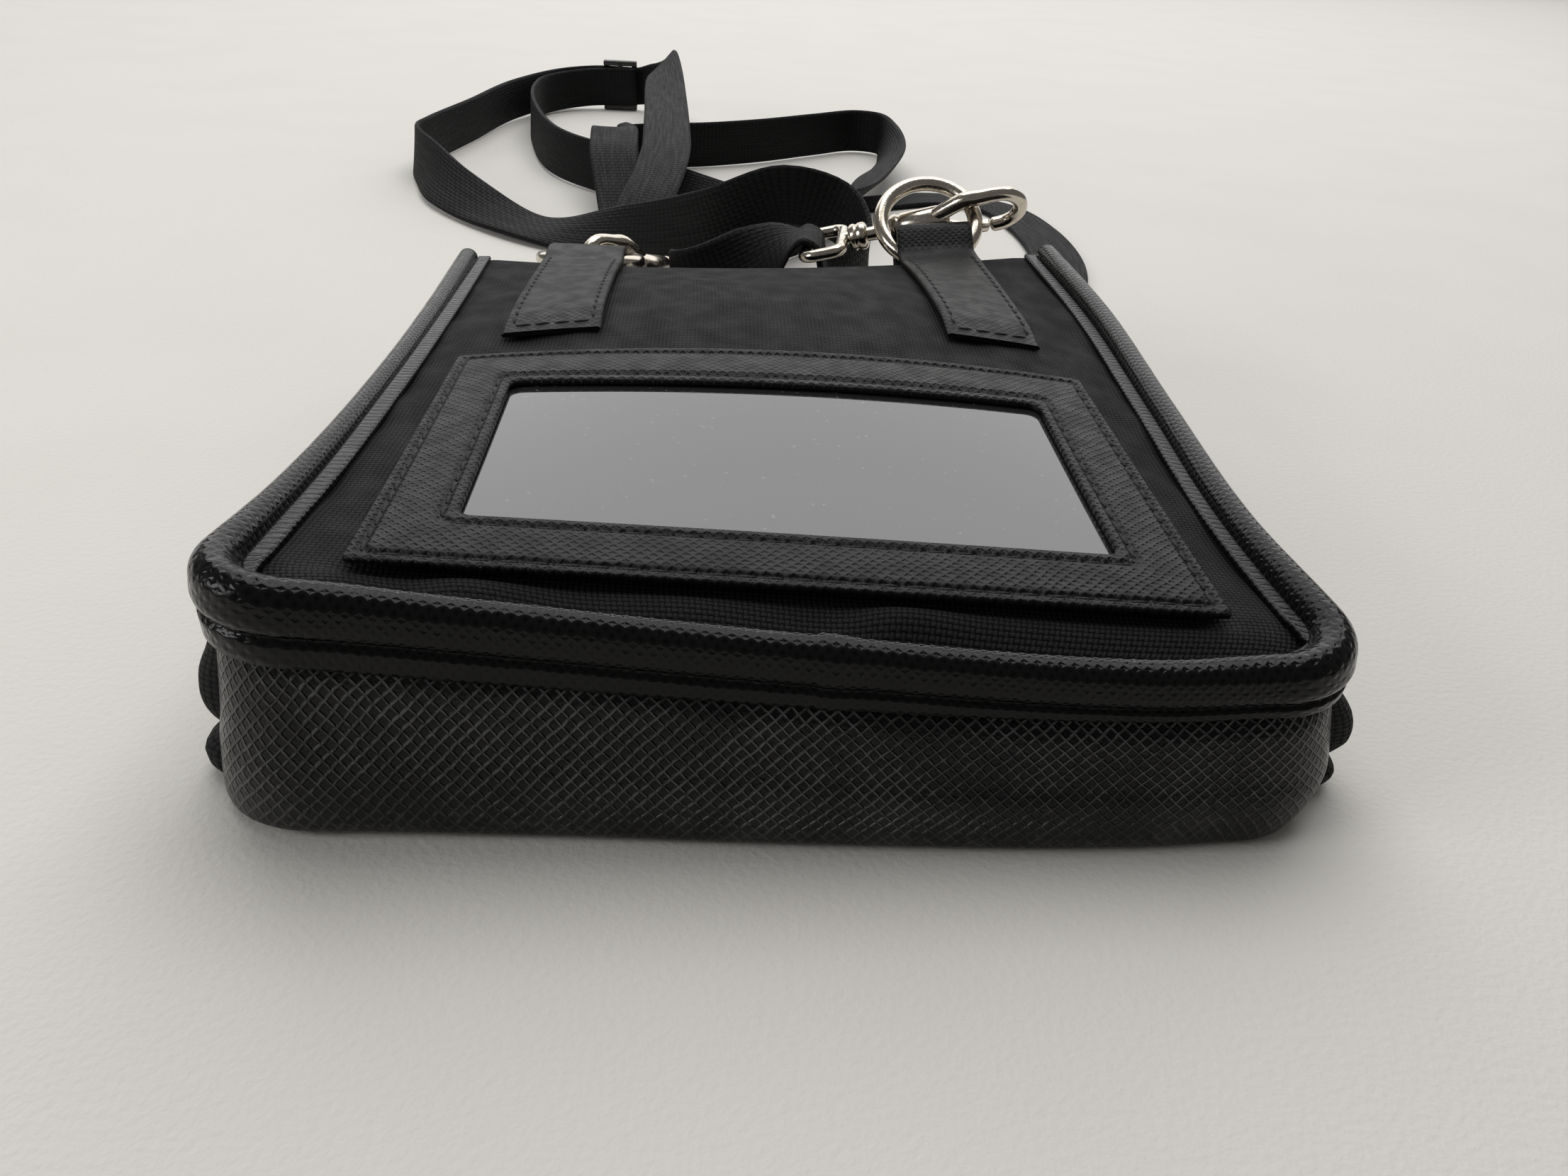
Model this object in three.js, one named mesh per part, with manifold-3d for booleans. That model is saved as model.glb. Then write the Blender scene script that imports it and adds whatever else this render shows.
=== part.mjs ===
// A flat phone pouch with a card window, worn across the body on an adjustable webbing strap.
// The pouch lies on its front: +X is its right side, +Y runs from the closed base to the open mouth,
// +Z is up, and the origin is under the middle of the pouch. All sizes are millimetres.
import * as THREE from 'three';
import { mergeVertices } from 'three/addons/utils/BufferGeometryUtils.js';
import Module from 'manifold-3d';

const wasm = await Module();
wasm.setup();

// Pouch
const pouchWidth = 124;
const baseY = -74.5;
const mouthY = 72;
const seatGap = 0.3;
const nylonThickness = 1.2;
const gussetThickness = 1.0;
const leatherThickness = 1.5;

// Leather piping round the upper panel: a covered roll with a flange to each side
const rollRadius = 2.7;
const rimCornerRadius = 9;
const flangeThickness = 1.0;
const innerFlangeReach = 6.8;
const outerFlangeReach = 8.2;
const outerFlangeHalf = 0.6;
const rimX = pouchWidth / 2 - rollRadius;
const rimNearY = baseY + rollRadius;

// Height of the piping's centre at the four corners: the pouch lies slightly twisted
const cornerHeight = { nearLeft: 29.0, nearRight: 22.2, farLeft: 22.0, farRight: 27.0 };

// Upper panel: it hangs a little below the piping, bulges in the middle and dips at the mouth
const panelDrop = 1.5;
const panelHalf = rimX - rollRadius - seatGap;
const panelNearY = rimNearY + rollRadius + seatGap;
const panelCornerRadius = rimCornerRadius - rollRadius - seatGap;
const crownHalf = rimX - innerFlangeReach;
const panelCrown = [
  { y: -72, rise: 0 },
  { y: -62, rise: 0.1 },
  { y: -40, rise: 0.8 },
  { y: 0, rise: 3.4 },
  { y: 24, rise: 4.6 },
  { y: 48, rise: 2.4 },
  { y: 72, rise: -1.9 },
];

// Card window
const frameHalfX = 47.5;
const frameY = { near: -64.5, far: 1.2 };
const windowHalfX = 37.7;
const windowY = { near: -53.5, far: -12 };
const frameTop = { inner: 2.1, outer: 1.7 };
const frameRebate = 0.45;
const paneLap = 3.6;
const paneThickness = 0.7;

// Gussets: outward offset from the piping's centre line against height, from the seam (1) to the floor (0)
const wallTopDrop = rollRadius + seatGap;
const wallReach = 7;
const baseProfile = [
  { out: -1.0, up: 1.0 },
  { out: -0.95, up: 0.71 },
  { out: 0.5, up: 0.63 },
  { out: 1.9, up: 0.53 },
  { out: 3.4, up: 0.38 },
  { out: 4.3, up: 0.24 },
  { out: 4.2, up: 0.11 },
  { out: 2.6, up: 0.025 },
  { out: -0.5, up: 0 },
  { out: -wallReach, up: 0 },
];
const sideProfile = [
  { out: -1.0, up: 1.0 },
  { out: -0.95, up: 0.7 },
  { out: 1.3, up: 0.64 },
  { out: 1.8, up: 0.55 },
  { out: 0.3, up: 0.45 },
  { out: -0.5, up: 0.38 },
  { out: 1.0, up: 0.27 },
  { out: 0.8, up: 0.13 },
  { out: -0.9, up: 0.035 },
  { out: -3.0, up: 0 },
  { out: -wallReach, up: 0 },
];
// How far the base swells out along its run from left (0) to right (1)
const baseSwell = [
  { at: 0, swell: 0.35 },
  { at: 0.3, swell: 0.85 },
  { at: 0.7, swell: 1.05 },
  { at: 1, swell: 0.9 },
];

// Leather tabs that fold over the mouth and hold the rings
const tabWidth = 15.6;
const tabThickness = 1.7;
const tabInnerEndY = 52;
const tabs = [
  { side: 'left', x: -35, endY: 12 },
  { side: 'right', x: 36.8, endY: 14.5 },
];
const ringRadius = 10;
const ringWire = 1.6;
const eyeletClear = 0.35;
const eyeletLength = 5.3;
const eyeletWall = 1.4;

// Lobster hooks, drawn with the ring's wire at the origin, the tip along +x and the back along +z
const claw = { wire: 1.5, rootWire: 1.7, noseWire: 1.3, bend: 4.9, bendX: 5.6, backX: -1, noseX: 4.2 };
const clawRoot = [{ x: -7.5, z: 1.6 }, { x: -5.3, z: 2.9 }];
const barrel = { rear: -17.9, front: -4.6, radius: 3.2, boreRadius: 1.8, boreDepth: 4 };
const gate = { pivotX: -5.8, pivotZ: -1.4, hub: 1.3, pin: 0.6, thickness: 2.4, knob: 1.4, slotReach: 2.3 };
// Outlines of the gate's arm and thumb tail about its pivot; the arm's end swings clear of the nose
const gateArm = [
  { x: -0.9, z: 0.9 },
  { x: 4.0, z: -1.6 },
  { x: 99, z: -2.6 },
  { x: 99, z: -3.5 },
  { x: 99, z: -4.4 },
  { x: 4.0, z: -3.8 },
  { x: 0.2, z: -1.3 },
];
const gateTail = [
  { x: -1.2, z: -0.3 },
  { x: 1.0, z: -0.9 },
  { x: -0.4, z: -4.2 },
  { x: -1.9, z: -3.6 },
];
const gateKnob = { x: -1.4, z: -4.2 };
const barSides = 8;
const roundSides = 12;
const swivel = { post: 1.5, frontX: -28, rearX: -36, halfY: 9.6, wire: 1.3, corner: 2.5 };
const collar = { rear: -26.5, front: -22.4, radius: 2.9, chamfer: 0.7 };
const hookDrop = claw.bend - claw.wire - seatGap - ringWire;
// Where each hook grips its ring, and how the ring and the hook lie, in degrees
const clasps = [
  { side: 'left', ringPitch: -12, grip: 58, heading: 52, spin: 180, tilt: 5, turn: -7.3 },
  { side: 'right', ringPitch: 38, grip: 15, heading: 0, spin: 0, tilt: -13, turn: -39.5 },
];

// Webbing strap: route of its middle line and the direction of its width
const strapWidth = 15;
const strapThickness = 1.4;
const strapStep = 15;
const strapRoute = [
  { x: -41, y: 384.7, z: 10.0, wx: 0, wy: 0, wz: 1 },
  { x: -60, y: 384.0, z: 9.2, wx: 0, wy: 0, wz: 1 },
  { x: -76, y: 369, z: 8.2, wx: 0, wy: 0, wz: 1 },
  { x: -79, y: 345, z: 8.0, wx: 0, wy: 0, wz: 1 },
  { x: -74, y: 300, z: 8.0, wx: 0.1, wy: 0, wz: 1 },
  { x: -60, y: 250, z: 7.9, wx: 0.2, wy: 0.1, wz: 1 },
  { x: -40, y: 224, z: 7.8, wx: 0.1, wy: 0.3, wz: 1 },
  { x: -12, y: 206, z: 5.4, wx: 0, wy: 0.9, wz: 0.7 },
  { x: 16, y: 208, z: 2.0, wx: 0, wy: 1, wz: 0.12 },
  { x: 42, y: 224, z: 1.0, wx: -0.4, wy: 1, wz: 0 },
  { x: 65, y: 234, z: 1.0, wx: 0.1, wy: 1, wz: 0 },
  { x: 83, y: 226, z: 1.0, wx: 1, wy: 0.9, wz: 0 },
  { x: 90, y: 198, z: 1.0, wx: 1, wy: 0.1, wz: 0 },
  { x: 87, y: 152, z: 1.0, wx: 1, wy: -0.1, wz: 0 },
  { x: 72, y: 116, z: 1.0, wx: 0.7, wy: -0.8, wz: 0 },
  { x: 50, y: 100, z: 1.0, wx: 0.2, wy: -1, wz: 0 },
  { x: 26, y: 97, z: 1.1, wx: 0, wy: -1, wz: 0 },
  { x: 12, y: 99, z: 2.2, wx: 0, wy: -1, wz: -0.12 },
  { x: 1, y: 101, z: 6.3, wx: 0, wy: -0.75, wz: -0.66 },
  { x: -8, y: 101.4, z: 8.4, wx: 0, wy: -0.1, wz: -1 },
  { x: -15.5, y: 100.2, z: 9, wx: 0, wy: 0, wz: -1 },
  { x: -18, y: 97.6, z: 9.8, wx: 0, wy: 0, wz: -1 },
  { x: -15.5, y: 95, z: 10.6, wx: 0, wy: 0, wz: -1 },
  { x: -8, y: 94.2, z: 13.2, wx: 0, wy: 0, wz: -1 },
  { x: -1, y: 93.6, z: 16.6, wx: 0, wy: -0.3, wz: -0.95 },
  { x: 4.8, y: 92.4, z: 20.2, wx: -0.1, wy: -0.8, wz: -0.6 },
  { x: 9.2, y: 91.6, z: 22.6, wx: -0.13, wy: -1, wz: 0 },
  { x: 11.5, y: 91.5, z: 23.5, wx: -0.13, wy: -1, wz: 0 },
  { x: 14, y: 91.4, z: 22.2, wx: -0.13, wy: -1, wz: 0 },
  { x: 14.8, y: 91.5, z: 19, wx: -0.13, wy: -1, wz: 0 },
  { x: 16.6, y: 93.5, z: 12.8, wx: -0.1, wy: -1, wz: -0.35 },
  { x: 23, y: 103, z: 11, wx: 0, wy: -0.4, wz: -0.9 },
  { x: 28, y: 116, z: 13.5, wx: 0, wy: 0, wz: -1 },
  { x: 23, y: 128, z: 19.5, wx: 0, wy: 0, wz: -1 },
  { x: 9, y: 131.5, z: 23, wx: 0, wy: 0.2, wz: -1 },
  { x: -10, y: 136, z: 15, wx: 0, wy: 0, wz: -1 },
  { x: -30, y: 149, z: 8.2, wx: 0, wy: -0.6, wz: -0.8 },
  { x: -60, y: 171, z: 2.8, wx: -0.3, wy: -1, wz: -0.12 },
  { x: -86, y: 200, z: 5.8, wx: -0.8, wy: -0.7, wz: -0.8 },
  { x: -98, y: 224, z: 7.8, wx: -0.5, wy: 0, wz: -1 },
  { x: -105.5, y: 246, z: 8.0, wx: -0.1, wy: 0, wz: -1 },
  { x: -104, y: 262, z: 8.0, wx: 0, wy: 0, wz: -1 },
  { x: -97, y: 300, z: 8.0, wx: 0, wy: 0, wz: -1 },
  { x: -88, y: 350, z: 8.2, wx: 0, wy: 0, wz: -1 },
  { x: -72, y: 382.5, z: 9.0, wx: 0, wy: 0, wz: -1 },
  { x: -58, y: 387.6, z: 10.0, wx: 0, wy: 0, wz: -1 },
  { x: -48, y: 388, z: 10.0, wx: 0, wy: 0, wz: -1 },
  { x: -39, y: 387.9, z: 10.0, wx: 0, wy: 0, wz: -1 },
  { x: -33, y: 385, z: 12.5, wx: -0.2, wy: 0.1, wz: -1 },
  { x: -30, y: 376, z: 18.5, wx: -0.5, wy: 0.1, wz: -0.85 },
  { x: -29, y: 362, z: 22.5, wx: -0.7, wy: 0, wz: -0.7 },
  { x: -27.5, y: 330, z: 22.4, wx: -0.93, wy: 0, wz: -0.35 },
  { x: -26, y: 298, z: 21, wx: -1, wy: 0, wz: -0.1 },
  { x: -24.5, y: 264, z: 20, wx: -1, wy: 0, wz: 0 },
  { x: -23.5, y: 235, z: 19, wx: -1, wy: 0, wz: 0 },
  { x: -23, y: 212, z: 17.5, wx: -1, wy: 0, wz: 0 },
  { x: -24.5, y: 190, z: 14.5, wx: -1, wy: -0.05, wz: 0 },
  { x: -27, y: 174, z: 11, wx: -1, wy: -0.1, wz: 0 },
  { x: -28.6, y: 166, z: 7.6, wx: -1, wy: -0.15, wz: 0 },
  { x: -29.6, y: 164.2, z: 4.8, wx: -1, wy: -0.2, wz: 0 },
  { x: -30.6, y: 167.5, z: 2.4, wx: -1, wy: -0.22, wz: 0 },
  { x: -33.5, y: 182, z: 3.2, wx: -1, wy: -0.2, wz: 0 },
  { x: -36.5, y: 200, z: 10, wx: -1, wy: -0.15, wz: 0 },
  { x: -38.8, y: 214, z: 15.4, wx: -1, wy: -0.1, wz: 0 },
  { x: -39.6, y: 226, z: 17.4, wx: -1, wy: -0.1, wz: 0 },
  { x: -40.2, y: 238, z: 18, wx: -1, wy: 0, wz: 0 },
  { x: -41.6, y: 249.5, z: 12.6, wx: -0.6, wy: 0, wz: -0.8 },
  { x: -41, y: 258, z: 8.4, wx: 0, wy: 0, wz: -1 },
  { x: -35, y: 265, z: 7.8, wx: 0, wy: 0, wz: -1 },
  { x: -25, y: 269.5, z: 7.8, wx: 0, wy: 0, wz: -1 },
  { x: -12, y: 274, z: 7.8, wx: 0, wy: 0, wz: -1 },
  { x: 8, y: 285, z: 8.0, wx: 0, wy: 0, wz: -1 },
  { x: 30, y: 303, z: 8.0, wx: 0, wy: 0, wz: -1 },
  { x: 46, y: 315, z: 8.0, wx: 0, wy: 0, wz: -1 },
  { x: 54.5, y: 312, z: 8.0, wx: 0, wy: 0, wz: -1 },
  { x: 56, y: 292, z: 8.0, wx: -0.4, wy: 0.1, wz: -1 },
  { x: 53, y: 264, z: 8.0, wx: -0.75, wy: 0.2, wz: -0.7 },
  { x: 44, y: 232, z: 8.4, wx: -0.9, wy: 0.3, wz: -0.5 },
  { x: 34, y: 198, z: 7.6, wx: -0.7, wy: 0.3, wz: -0.75 },
  { x: 20, y: 167, z: 7.8, wx: -0.2, wy: 0.1, wz: -1 },
  { x: 9.5, y: 152, z: 7.8, wx: -0.1, wy: 0.1, wz: -1 },
  { x: 3, y: 140, z: 6.9, wx: -0.5, wy: 0.4, wz: -0.75 },
  { x: -1.6, y: 128, z: 6.6, wx: -0.79, wy: 0.6, wz: 0 },
  { x: -7.7, y: 120.4, z: 8.1, wx: -0.79, wy: 0.6, wz: 0 },
  { x: -9.4, y: 118.4, z: 5.5, wx: -0.79, wy: 0.6, wz: 0 },
  { x: -7.7, y: 120.4, z: 2.8, wx: -0.79, wy: 0.6, wz: 0 },
  { x: -2.5, y: 127, z: 1.6, wx: -0.79, wy: 0.6, wz: 0 },
];
const slider = { x: -48, y: 388, z: 10, length: 14, rail: 1.9, bar: 2.2, barThickness: 1.0 };

// Finishes
const finish = {
  nylon: { color: 0x141416, roughness: 0.85, metalness: 0 },
  leather: { color: 0x1a1a1b, roughness: 0.45, metalness: 0 },
  pane: { color: 0x4a4c4e, roughness: 0.12, metalness: 0 },
  metal: { color: 0xcfc8bc, roughness: 0.2, metalness: 1 },
  webbing: { color: 0x0e0e10, roughness: 0.8, metalness: 0 },
  slider: { color: 0x2b2a28, roughness: 0.5, metalness: 0.2 },
};

const pouch = new THREE.Group();
const degrees = (angle) => THREE.MathUtils.degToRad(angle);
const lerp = THREE.MathUtils.lerp;

function addMesh(parent, name, geometry, look) {
  const mesh = new THREE.Mesh(geometry, new THREE.MeshStandardMaterial(finish[look]));
  mesh.name = name;
  parent.add(mesh);
  return mesh;
}

// Smooth value from a short table, by one of its columns
function smoothColumn(rows, along, column) {
  const keys = rows.map((row) => row[along]);
  const values = rows.map((row) => row[column]);
  const curve = new THREE.CubicInterpolant(keys, values, 1);
  return (at) => curve.evaluate(THREE.MathUtils.clamp(at, keys[0], keys.at(-1)))[0];
}

function spread(from, to, count) {
  return Array.from({ length: count + 1 }, (_, k) => lerp(from, to, k / count));
}

function signedVolume(points, faces) {
  let volume = 0;
  for (let k = 0; k < faces.length; k += 3) {
    const [a, b, c] = faces.slice(k, k + 3).map((index) => points[index]);
    volume += a.dot(b.clone().cross(c)) / 6;
  }
  return volume;
}

function geometryFrom(points, faces) {
  const outward = signedVolume(points, faces) > 0 ? faces : faces.toReversed();
  const geometry = new THREE.BufferGeometry().setFromPoints(points);
  geometry.setIndex(outward);
  geometry.computeVertexNormals();
  return geometry;
}

// Body through a row of closed rings with the same number of points; open rows get flat ends
function loft(rings, endFaces, closed = false) {
  const count = rings[0].length;
  const faces = [];
  const rows = closed ? rings.length : rings.length - 1;
  for (let i = 0; i < rows; i += 1) {
    const here = i * count;
    const next = ((i + 1) % rings.length) * count;
    for (let j = 0; j < count; j += 1) {
      const k = (j + 1) % count;
      faces.push(here + j, here + k, next + k, here + j, next + k, next + j);
    }
  }
  if (!closed) {
    const last = (rings.length - 1) * count;
    for (const [a, b, c] of endFaces) {
      faces.push(c, b, a, last + a, last + b, last + c);
    }
  }
  return geometryFrom(rings.flat(), faces);
}

// Flat end of a ring that runs along one face of a wall and back along the other
function wallEnd(count) {
  const faces = [];
  for (let j = 0; j < count - 1; j += 1) {
    const back = 2 * count - 1 - j;
    faces.push([j, j + 1, back], [j + 1, back - 1, back]);
  }
  return faces;
}

function outlineEnd(outline) {
  const points = outline.map(([x, y]) => new THREE.Vector2(x, y));
  const faces = THREE.ShapeUtils.triangulateShape(points, []);
  return faces.map((face) => face.toSorted((a, b) => a - b));
}

function toSolid(geometry) {
  const plain = geometry.clone();
  plain.deleteAttribute('normal');
  plain.deleteAttribute('uv');
  const merged = mergeVertices(plain, 1e-4);
  const mesh = new wasm.Mesh({
    numProp: 3,
    vertProperties: Float32Array.from(merged.attributes.position.array),
    triVerts: Uint32Array.from(merged.index.array),
  });
  return new wasm.Manifold(mesh);
}

function fromSolid(solid) {
  const mesh = solid.getMesh();
  const geometry = new THREE.BufferGeometry();
  geometry.setAttribute('position', new THREE.BufferAttribute(mesh.vertProperties, 3));
  geometry.setIndex(new THREE.BufferAttribute(mesh.triVerts, 1));
  geometry.computeVertexNormals();
  return geometry;
}

// Point on the piping's centre line and the direction out of the pouch there
const sideRun = mouthY - rimNearY - rimCornerRadius;
const cornerRun = rimCornerRadius * Math.PI / 2;
const nearRun = 2 * (rimX - rimCornerRadius);
const rimLength = 2 * (sideRun + cornerRun) + nearRun;

function rimAt(s) {
  const mirrored = s > rimLength / 2;
  const run = mirrored ? rimLength - s : s;
  const sign = mirrored ? -1 : 1;
  const turn = THREE.MathUtils.clamp((run - sideRun) / cornerRun, 0, 1) * Math.PI / 2;
  const out = { x: -Math.cos(turn), y: -Math.sin(turn) };
  const past = Math.max(0, run - sideRun - cornerRun);
  const x = -rimX + rimCornerRadius * (1 + out.x) + past;
  const y = rimNearY + rimCornerRadius * (1 + out.y) + Math.max(0, sideRun - run);
  return { x: sign * x, y, outX: sign * out.x, outY: out.y };
}

function seamHeight(x, y) {
  const across = x / (2 * rimX) + 0.5;
  const along = (y - rimNearY) / (mouthY - rimNearY);
  const near = lerp(cornerHeight.nearLeft, cornerHeight.nearRight, across);
  const far = lerp(cornerHeight.farLeft, cornerHeight.farRight, across);
  return lerp(near, far, along);
}

const crownAt = smoothColumn(panelCrown, 'y', 'rise');

function panelTop(x, y) {
  const middle = 1 - Math.min(1, (x / crownHalf) ** 2);
  return seamHeight(x, y) - panelDrop + crownAt(y) * middle;
}

function onPanel(x, y, height) {
  return new THREE.Vector3(x, y, panelTop(x, y) + height);
}

// Strip across X at one Y, from one height over the panel down to another
function panelStrip(xs, y, top, under) {
  const upper = xs.map((x) => onPanel(x, y, top));
  const lower = xs.map((x) => onPanel(x, y, under));
  return [...upper, ...lower.reverse()];
}

function addUpperPanel() {
  const flat = crownHalf / panelHalf;
  const across = [-1, ...spread(-flat, flat, 13), 1];
  const cornerEndY = panelNearY + panelCornerRadius;
  const rows = [...spread(panelNearY, cornerEndY, 4), ...spread(cornerEndY, mouthY, 18).slice(1)];
  const rings = rows.map((y) => {
    const into = Math.max(0, cornerEndY - y);
    const half = panelHalf - panelCornerRadius + Math.sqrt(panelCornerRadius ** 2 - into ** 2);
    return panelStrip(across.map((share) => share * half), y, 0, -nylonThickness);
  });
  addMesh(pouch, 'back_panel', loft(rings, wallEnd(across.length)), 'nylon');
}

function addFrontPanel() {
  const halfX = rimX - wallReach - seatGap;
  const nearY = rimNearY + wallReach + seatGap;
  const corner = rimCornerRadius - wallReach - seatGap;
  const shape = new THREE.Shape();
  shape.moveTo(-halfX, mouthY);
  shape.lineTo(-halfX, nearY + corner);
  shape.absarc(-halfX + corner, nearY + corner, corner, Math.PI, 1.5 * Math.PI);
  shape.absarc(halfX - corner, nearY + corner, corner, 1.5 * Math.PI, 2 * Math.PI);
  shape.lineTo(halfX, mouthY);
  const options = { depth: nylonThickness, bevelEnabled: false, curveSegments: 4 };
  addMesh(pouch, 'front_panel', new THREE.ExtrudeGeometry(shape, options), 'nylon');
}

// Section of the piping: out of the pouch against up, round the roll and both flanges
function pipingSection() {
  const under = -panelDrop + seatGap;
  const top = under + flangeThickness;
  const outline = [[-innerFlangeReach, under], [-innerFlangeReach, top]];
  const from = Math.PI - Math.asin(top / rollRadius);
  const to = Math.asin(outerFlangeHalf / rollRadius) - Math.PI / 2;
  for (const angle of spread(from, to, 9)) {
    outline.push([rollRadius * Math.cos(angle), rollRadius * Math.sin(angle)]);
  }
  outline.push([outerFlangeHalf, -outerFlangeReach], [-outerFlangeHalf, -outerFlangeReach]);
  const back = -Math.PI - Math.asin(under / rollRadius);
  for (const angle of spread(-Math.PI - to, back, 3)) {
    outline.push([rollRadius * Math.cos(angle), rollRadius * Math.sin(angle)]);
  }
  return outline;
}

// Stations along the rim: few on the straights, more round the corners
function rimStations(from, to) {
  const cornerEnd = sideRun + cornerRun;
  const marks = [0, sideRun, cornerEnd, rimLength - cornerEnd, rimLength - sideRun, rimLength];
  const counts = [9, 7, 9, 7, 9];
  const stations = counts.flatMap((count, k) => spread(marks[k], marks[k + 1], count).slice(k ? 1 : 0));
  const inside = stations.filter((s) => s > from + 1 && s < to - 1);
  return [from, ...inside, to];
}

function addPiping() {
  const outline = pipingSection();
  const rings = rimStations(0, rimLength).map((s) => {
    const rim = rimAt(s);
    return outline.map(([out, up]) => {
      const x = rim.x + out * rim.outX;
      const y = rim.y + out * rim.outY;
      return new THREE.Vector3(x, y, seamHeight(x, y) + up);
    });
  });
  addMesh(pouch, 'edge_piping', loft(rings, outlineEnd(outline)), 'leather');
}

// Second face of a wall: its section moved inwards by the wall's thickness
function insetSection(section, thickness) {
  return section.map((point, k) => {
    const before = section[Math.max(0, k - 1)];
    const after = section[Math.min(section.length - 1, k + 1)];
    const along = new THREE.Vector2().subVectors(after, before).normalize();
    return new THREE.Vector2(point.x + along.y * thickness, point.y - along.x * thickness);
  });
}

function addWall(name, profile, from, to, thickness, swellAt, look) {
  const rings = rimStations(from, to).map((s) => {
    const rim = rimAt(s);
    const top = seamHeight(rim.x, rim.y) - wallTopDrop;
    const swell = swellAt((s - from) / (to - from));
    const section = profile.map(({ out, up }) => new THREE.Vector2(out > 0 ? out * swell : out, up * top));
    const inner = insetSection(section, thickness);
    const ring = [...section, ...inner.reverse()];
    return ring.map((at) => new THREE.Vector3(rim.x + at.x * rim.outX, rim.y + at.x * rim.outY, at.y));
  });
  addMesh(pouch, name, loft(rings, wallEnd(profile.length)), look);
}

// The leather base reaches part of the way round each near corner, where the nylon sides begin
function addGussets() {
  const leftSplit = sideRun + 0.2 * cornerRun;
  const rightSplit = rimLength - sideRun - 0.3 * cornerRun;
  const swellAt = smoothColumn(baseSwell, 'at', 'swell');
  const even = () => 1;
  addWall('base_gusset', baseProfile, leftSplit, rightSplit, leatherThickness, swellAt, 'leather');
  addWall('side_gusset_left', sideProfile, 0, leftSplit - seatGap, gussetThickness, even, 'nylon');
  addWall('side_gusset_right', sideProfile, rightSplit + seatGap, rimLength, gussetThickness, even, 'nylon');
}

// Points round a rectangle, side by side, starting and turning at its corners
function rectangleLoop(halfX, near, far, perSide) {
  const corners = [[-halfX, near], [halfX, near], [halfX, far], [-halfX, far]];
  return corners.flatMap(([x, y], k) => {
    const [nextX, nextY] = corners[(k + 1) % 4];
    const shares = spread(0, 1, perSide).slice(0, -1);
    return shares.map((share) => [lerp(x, nextX, share), lerp(y, nextY, share)]);
  });
}

function addWindow() {
  const perSide = 11;
  const inner = rectangleLoop(windowHalfX, windowY.near, windowY.far, perSide);
  const outer = rectangleLoop(frameHalfX, frameY.near, frameY.far, perSide);
  const rebateTop = 2 * seatGap + paneThickness;
  const section = [
    [0, rebateTop], [0, frameTop.inner], [0.5, frameTop.inner], [1, frameTop.outer],
    [1, seatGap], [frameRebate, seatGap], [frameRebate, rebateTop],
  ];
  const rings = inner.map(([x, y], k) => {
    const [farX, farY] = outer[k];
    return section.map(([share, height]) => onPanel(lerp(x, farX, share), lerp(y, farY, share), height));
  });
  addMesh(pouch, 'window_frame', loft(rings, [], true), 'leather');

  const xs = spread(-windowHalfX - paneLap, windowHalfX + paneLap, 10);
  const ys = spread(windowY.near - paneLap, windowY.far + paneLap, 6);
  const strips = ys.map((y) => panelStrip(xs, y, seatGap + paneThickness, seatGap));
  addMesh(pouch, 'window_pane', loft(strips, wallEnd(xs.length)), 'pane');
}

// Rise of the panel across a tab where it leaves the mouth
function mouthSlope(tab) {
  const half = tabWidth / 2;
  return (panelTop(tab.x + half, mouthY) - panelTop(tab.x - half, mouthY)) / tabWidth;
}

// Leg of a tab along the panel; near the mouth it straightens across its width to meet the eyelet
function tabLeg(tab, fromY, toY, top, under, steps) {
  const xs = spread(tab.x - tabWidth / 2, tab.x + tabWidth / 2, 2);
  const rings = spread(fromY, toY, steps).map((y) => {
    const straight = THREE.MathUtils.smoothstep(y, mouthY - 12, mouthY - 2);
    const onLeg = (x, height) => {
      const rowY = Math.min(y, mouthY);
      const chord = panelTop(tab.x, rowY) + (x - tab.x) * mouthSlope(tab);
      return new THREE.Vector3(x, y, lerp(panelTop(x, rowY), chord, straight) + height);
    };
    const upper = xs.map((x) => onLeg(x, top));
    const lower = xs.map((x) => onLeg(x, under));
    return [...upper, ...lower.reverse()];
  });
  return toSolid(loft(rings, wallEnd(xs.length)));
}

// Long round-ended bar across a tab: its outside is the eyelet's leather, its inside the wire's room
function eyelet(radius, length, width, sides) {
  const shape = new THREE.Shape();
  shape.absarc(0, 0, radius, Math.PI / 2, 1.5 * Math.PI);
  shape.absarc(length, 0, radius, 1.5 * Math.PI, 2.5 * Math.PI);
  const options = { depth: width, bevelEnabled: false, curveSegments: sides };
  const geometry = new THREE.ExtrudeGeometry(shape, options);
  geometry.translate(0, 0, -width / 2);
  geometry.rotateY(Math.PI / 2);
  geometry.rotateX(Math.PI / 2);
  return geometry;
}

function ringSeat(tab) {
  const room = ringWire + eyeletClear;
  const height = panelTop(tab.x, mouthY) - nylonThickness / 2;
  return new THREE.Vector3(tab.x, mouthY + seatGap + room + eyeletWall, height);
}

function addTab(tab, pitch) {
  const seat = ringSeat(tab);
  const room = ringWire + eyeletClear;
  const lean = -Math.atan(mouthSlope(tab));
  const place = (geometry) => geometry.rotateX(pitch).rotateY(lean).translate(seat.x, seat.y, seat.z);
  const shell = toSolid(place(eyelet(room + eyeletWall, eyeletLength, tabWidth, 8)));
  const hole = toSolid(place(eyelet(room, eyeletLength, 2 * tabWidth, 8)));
  const legTop = seatGap + tabThickness;
  const innerTop = -nylonThickness - seatGap;
  const outerLeg = tabLeg(tab, tab.endY, seat.y, legTop, seatGap, 10);
  const innerLeg = tabLeg(tab, tabInnerEndY, seat.y, innerTop, innerTop - leatherThickness, 5);
  const solid = shell.add(outerLeg).add(innerLeg).subtract(hole);
  addMesh(pouch, `tab_${tab.side}`, fromSolid(solid), 'leather');
}

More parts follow.
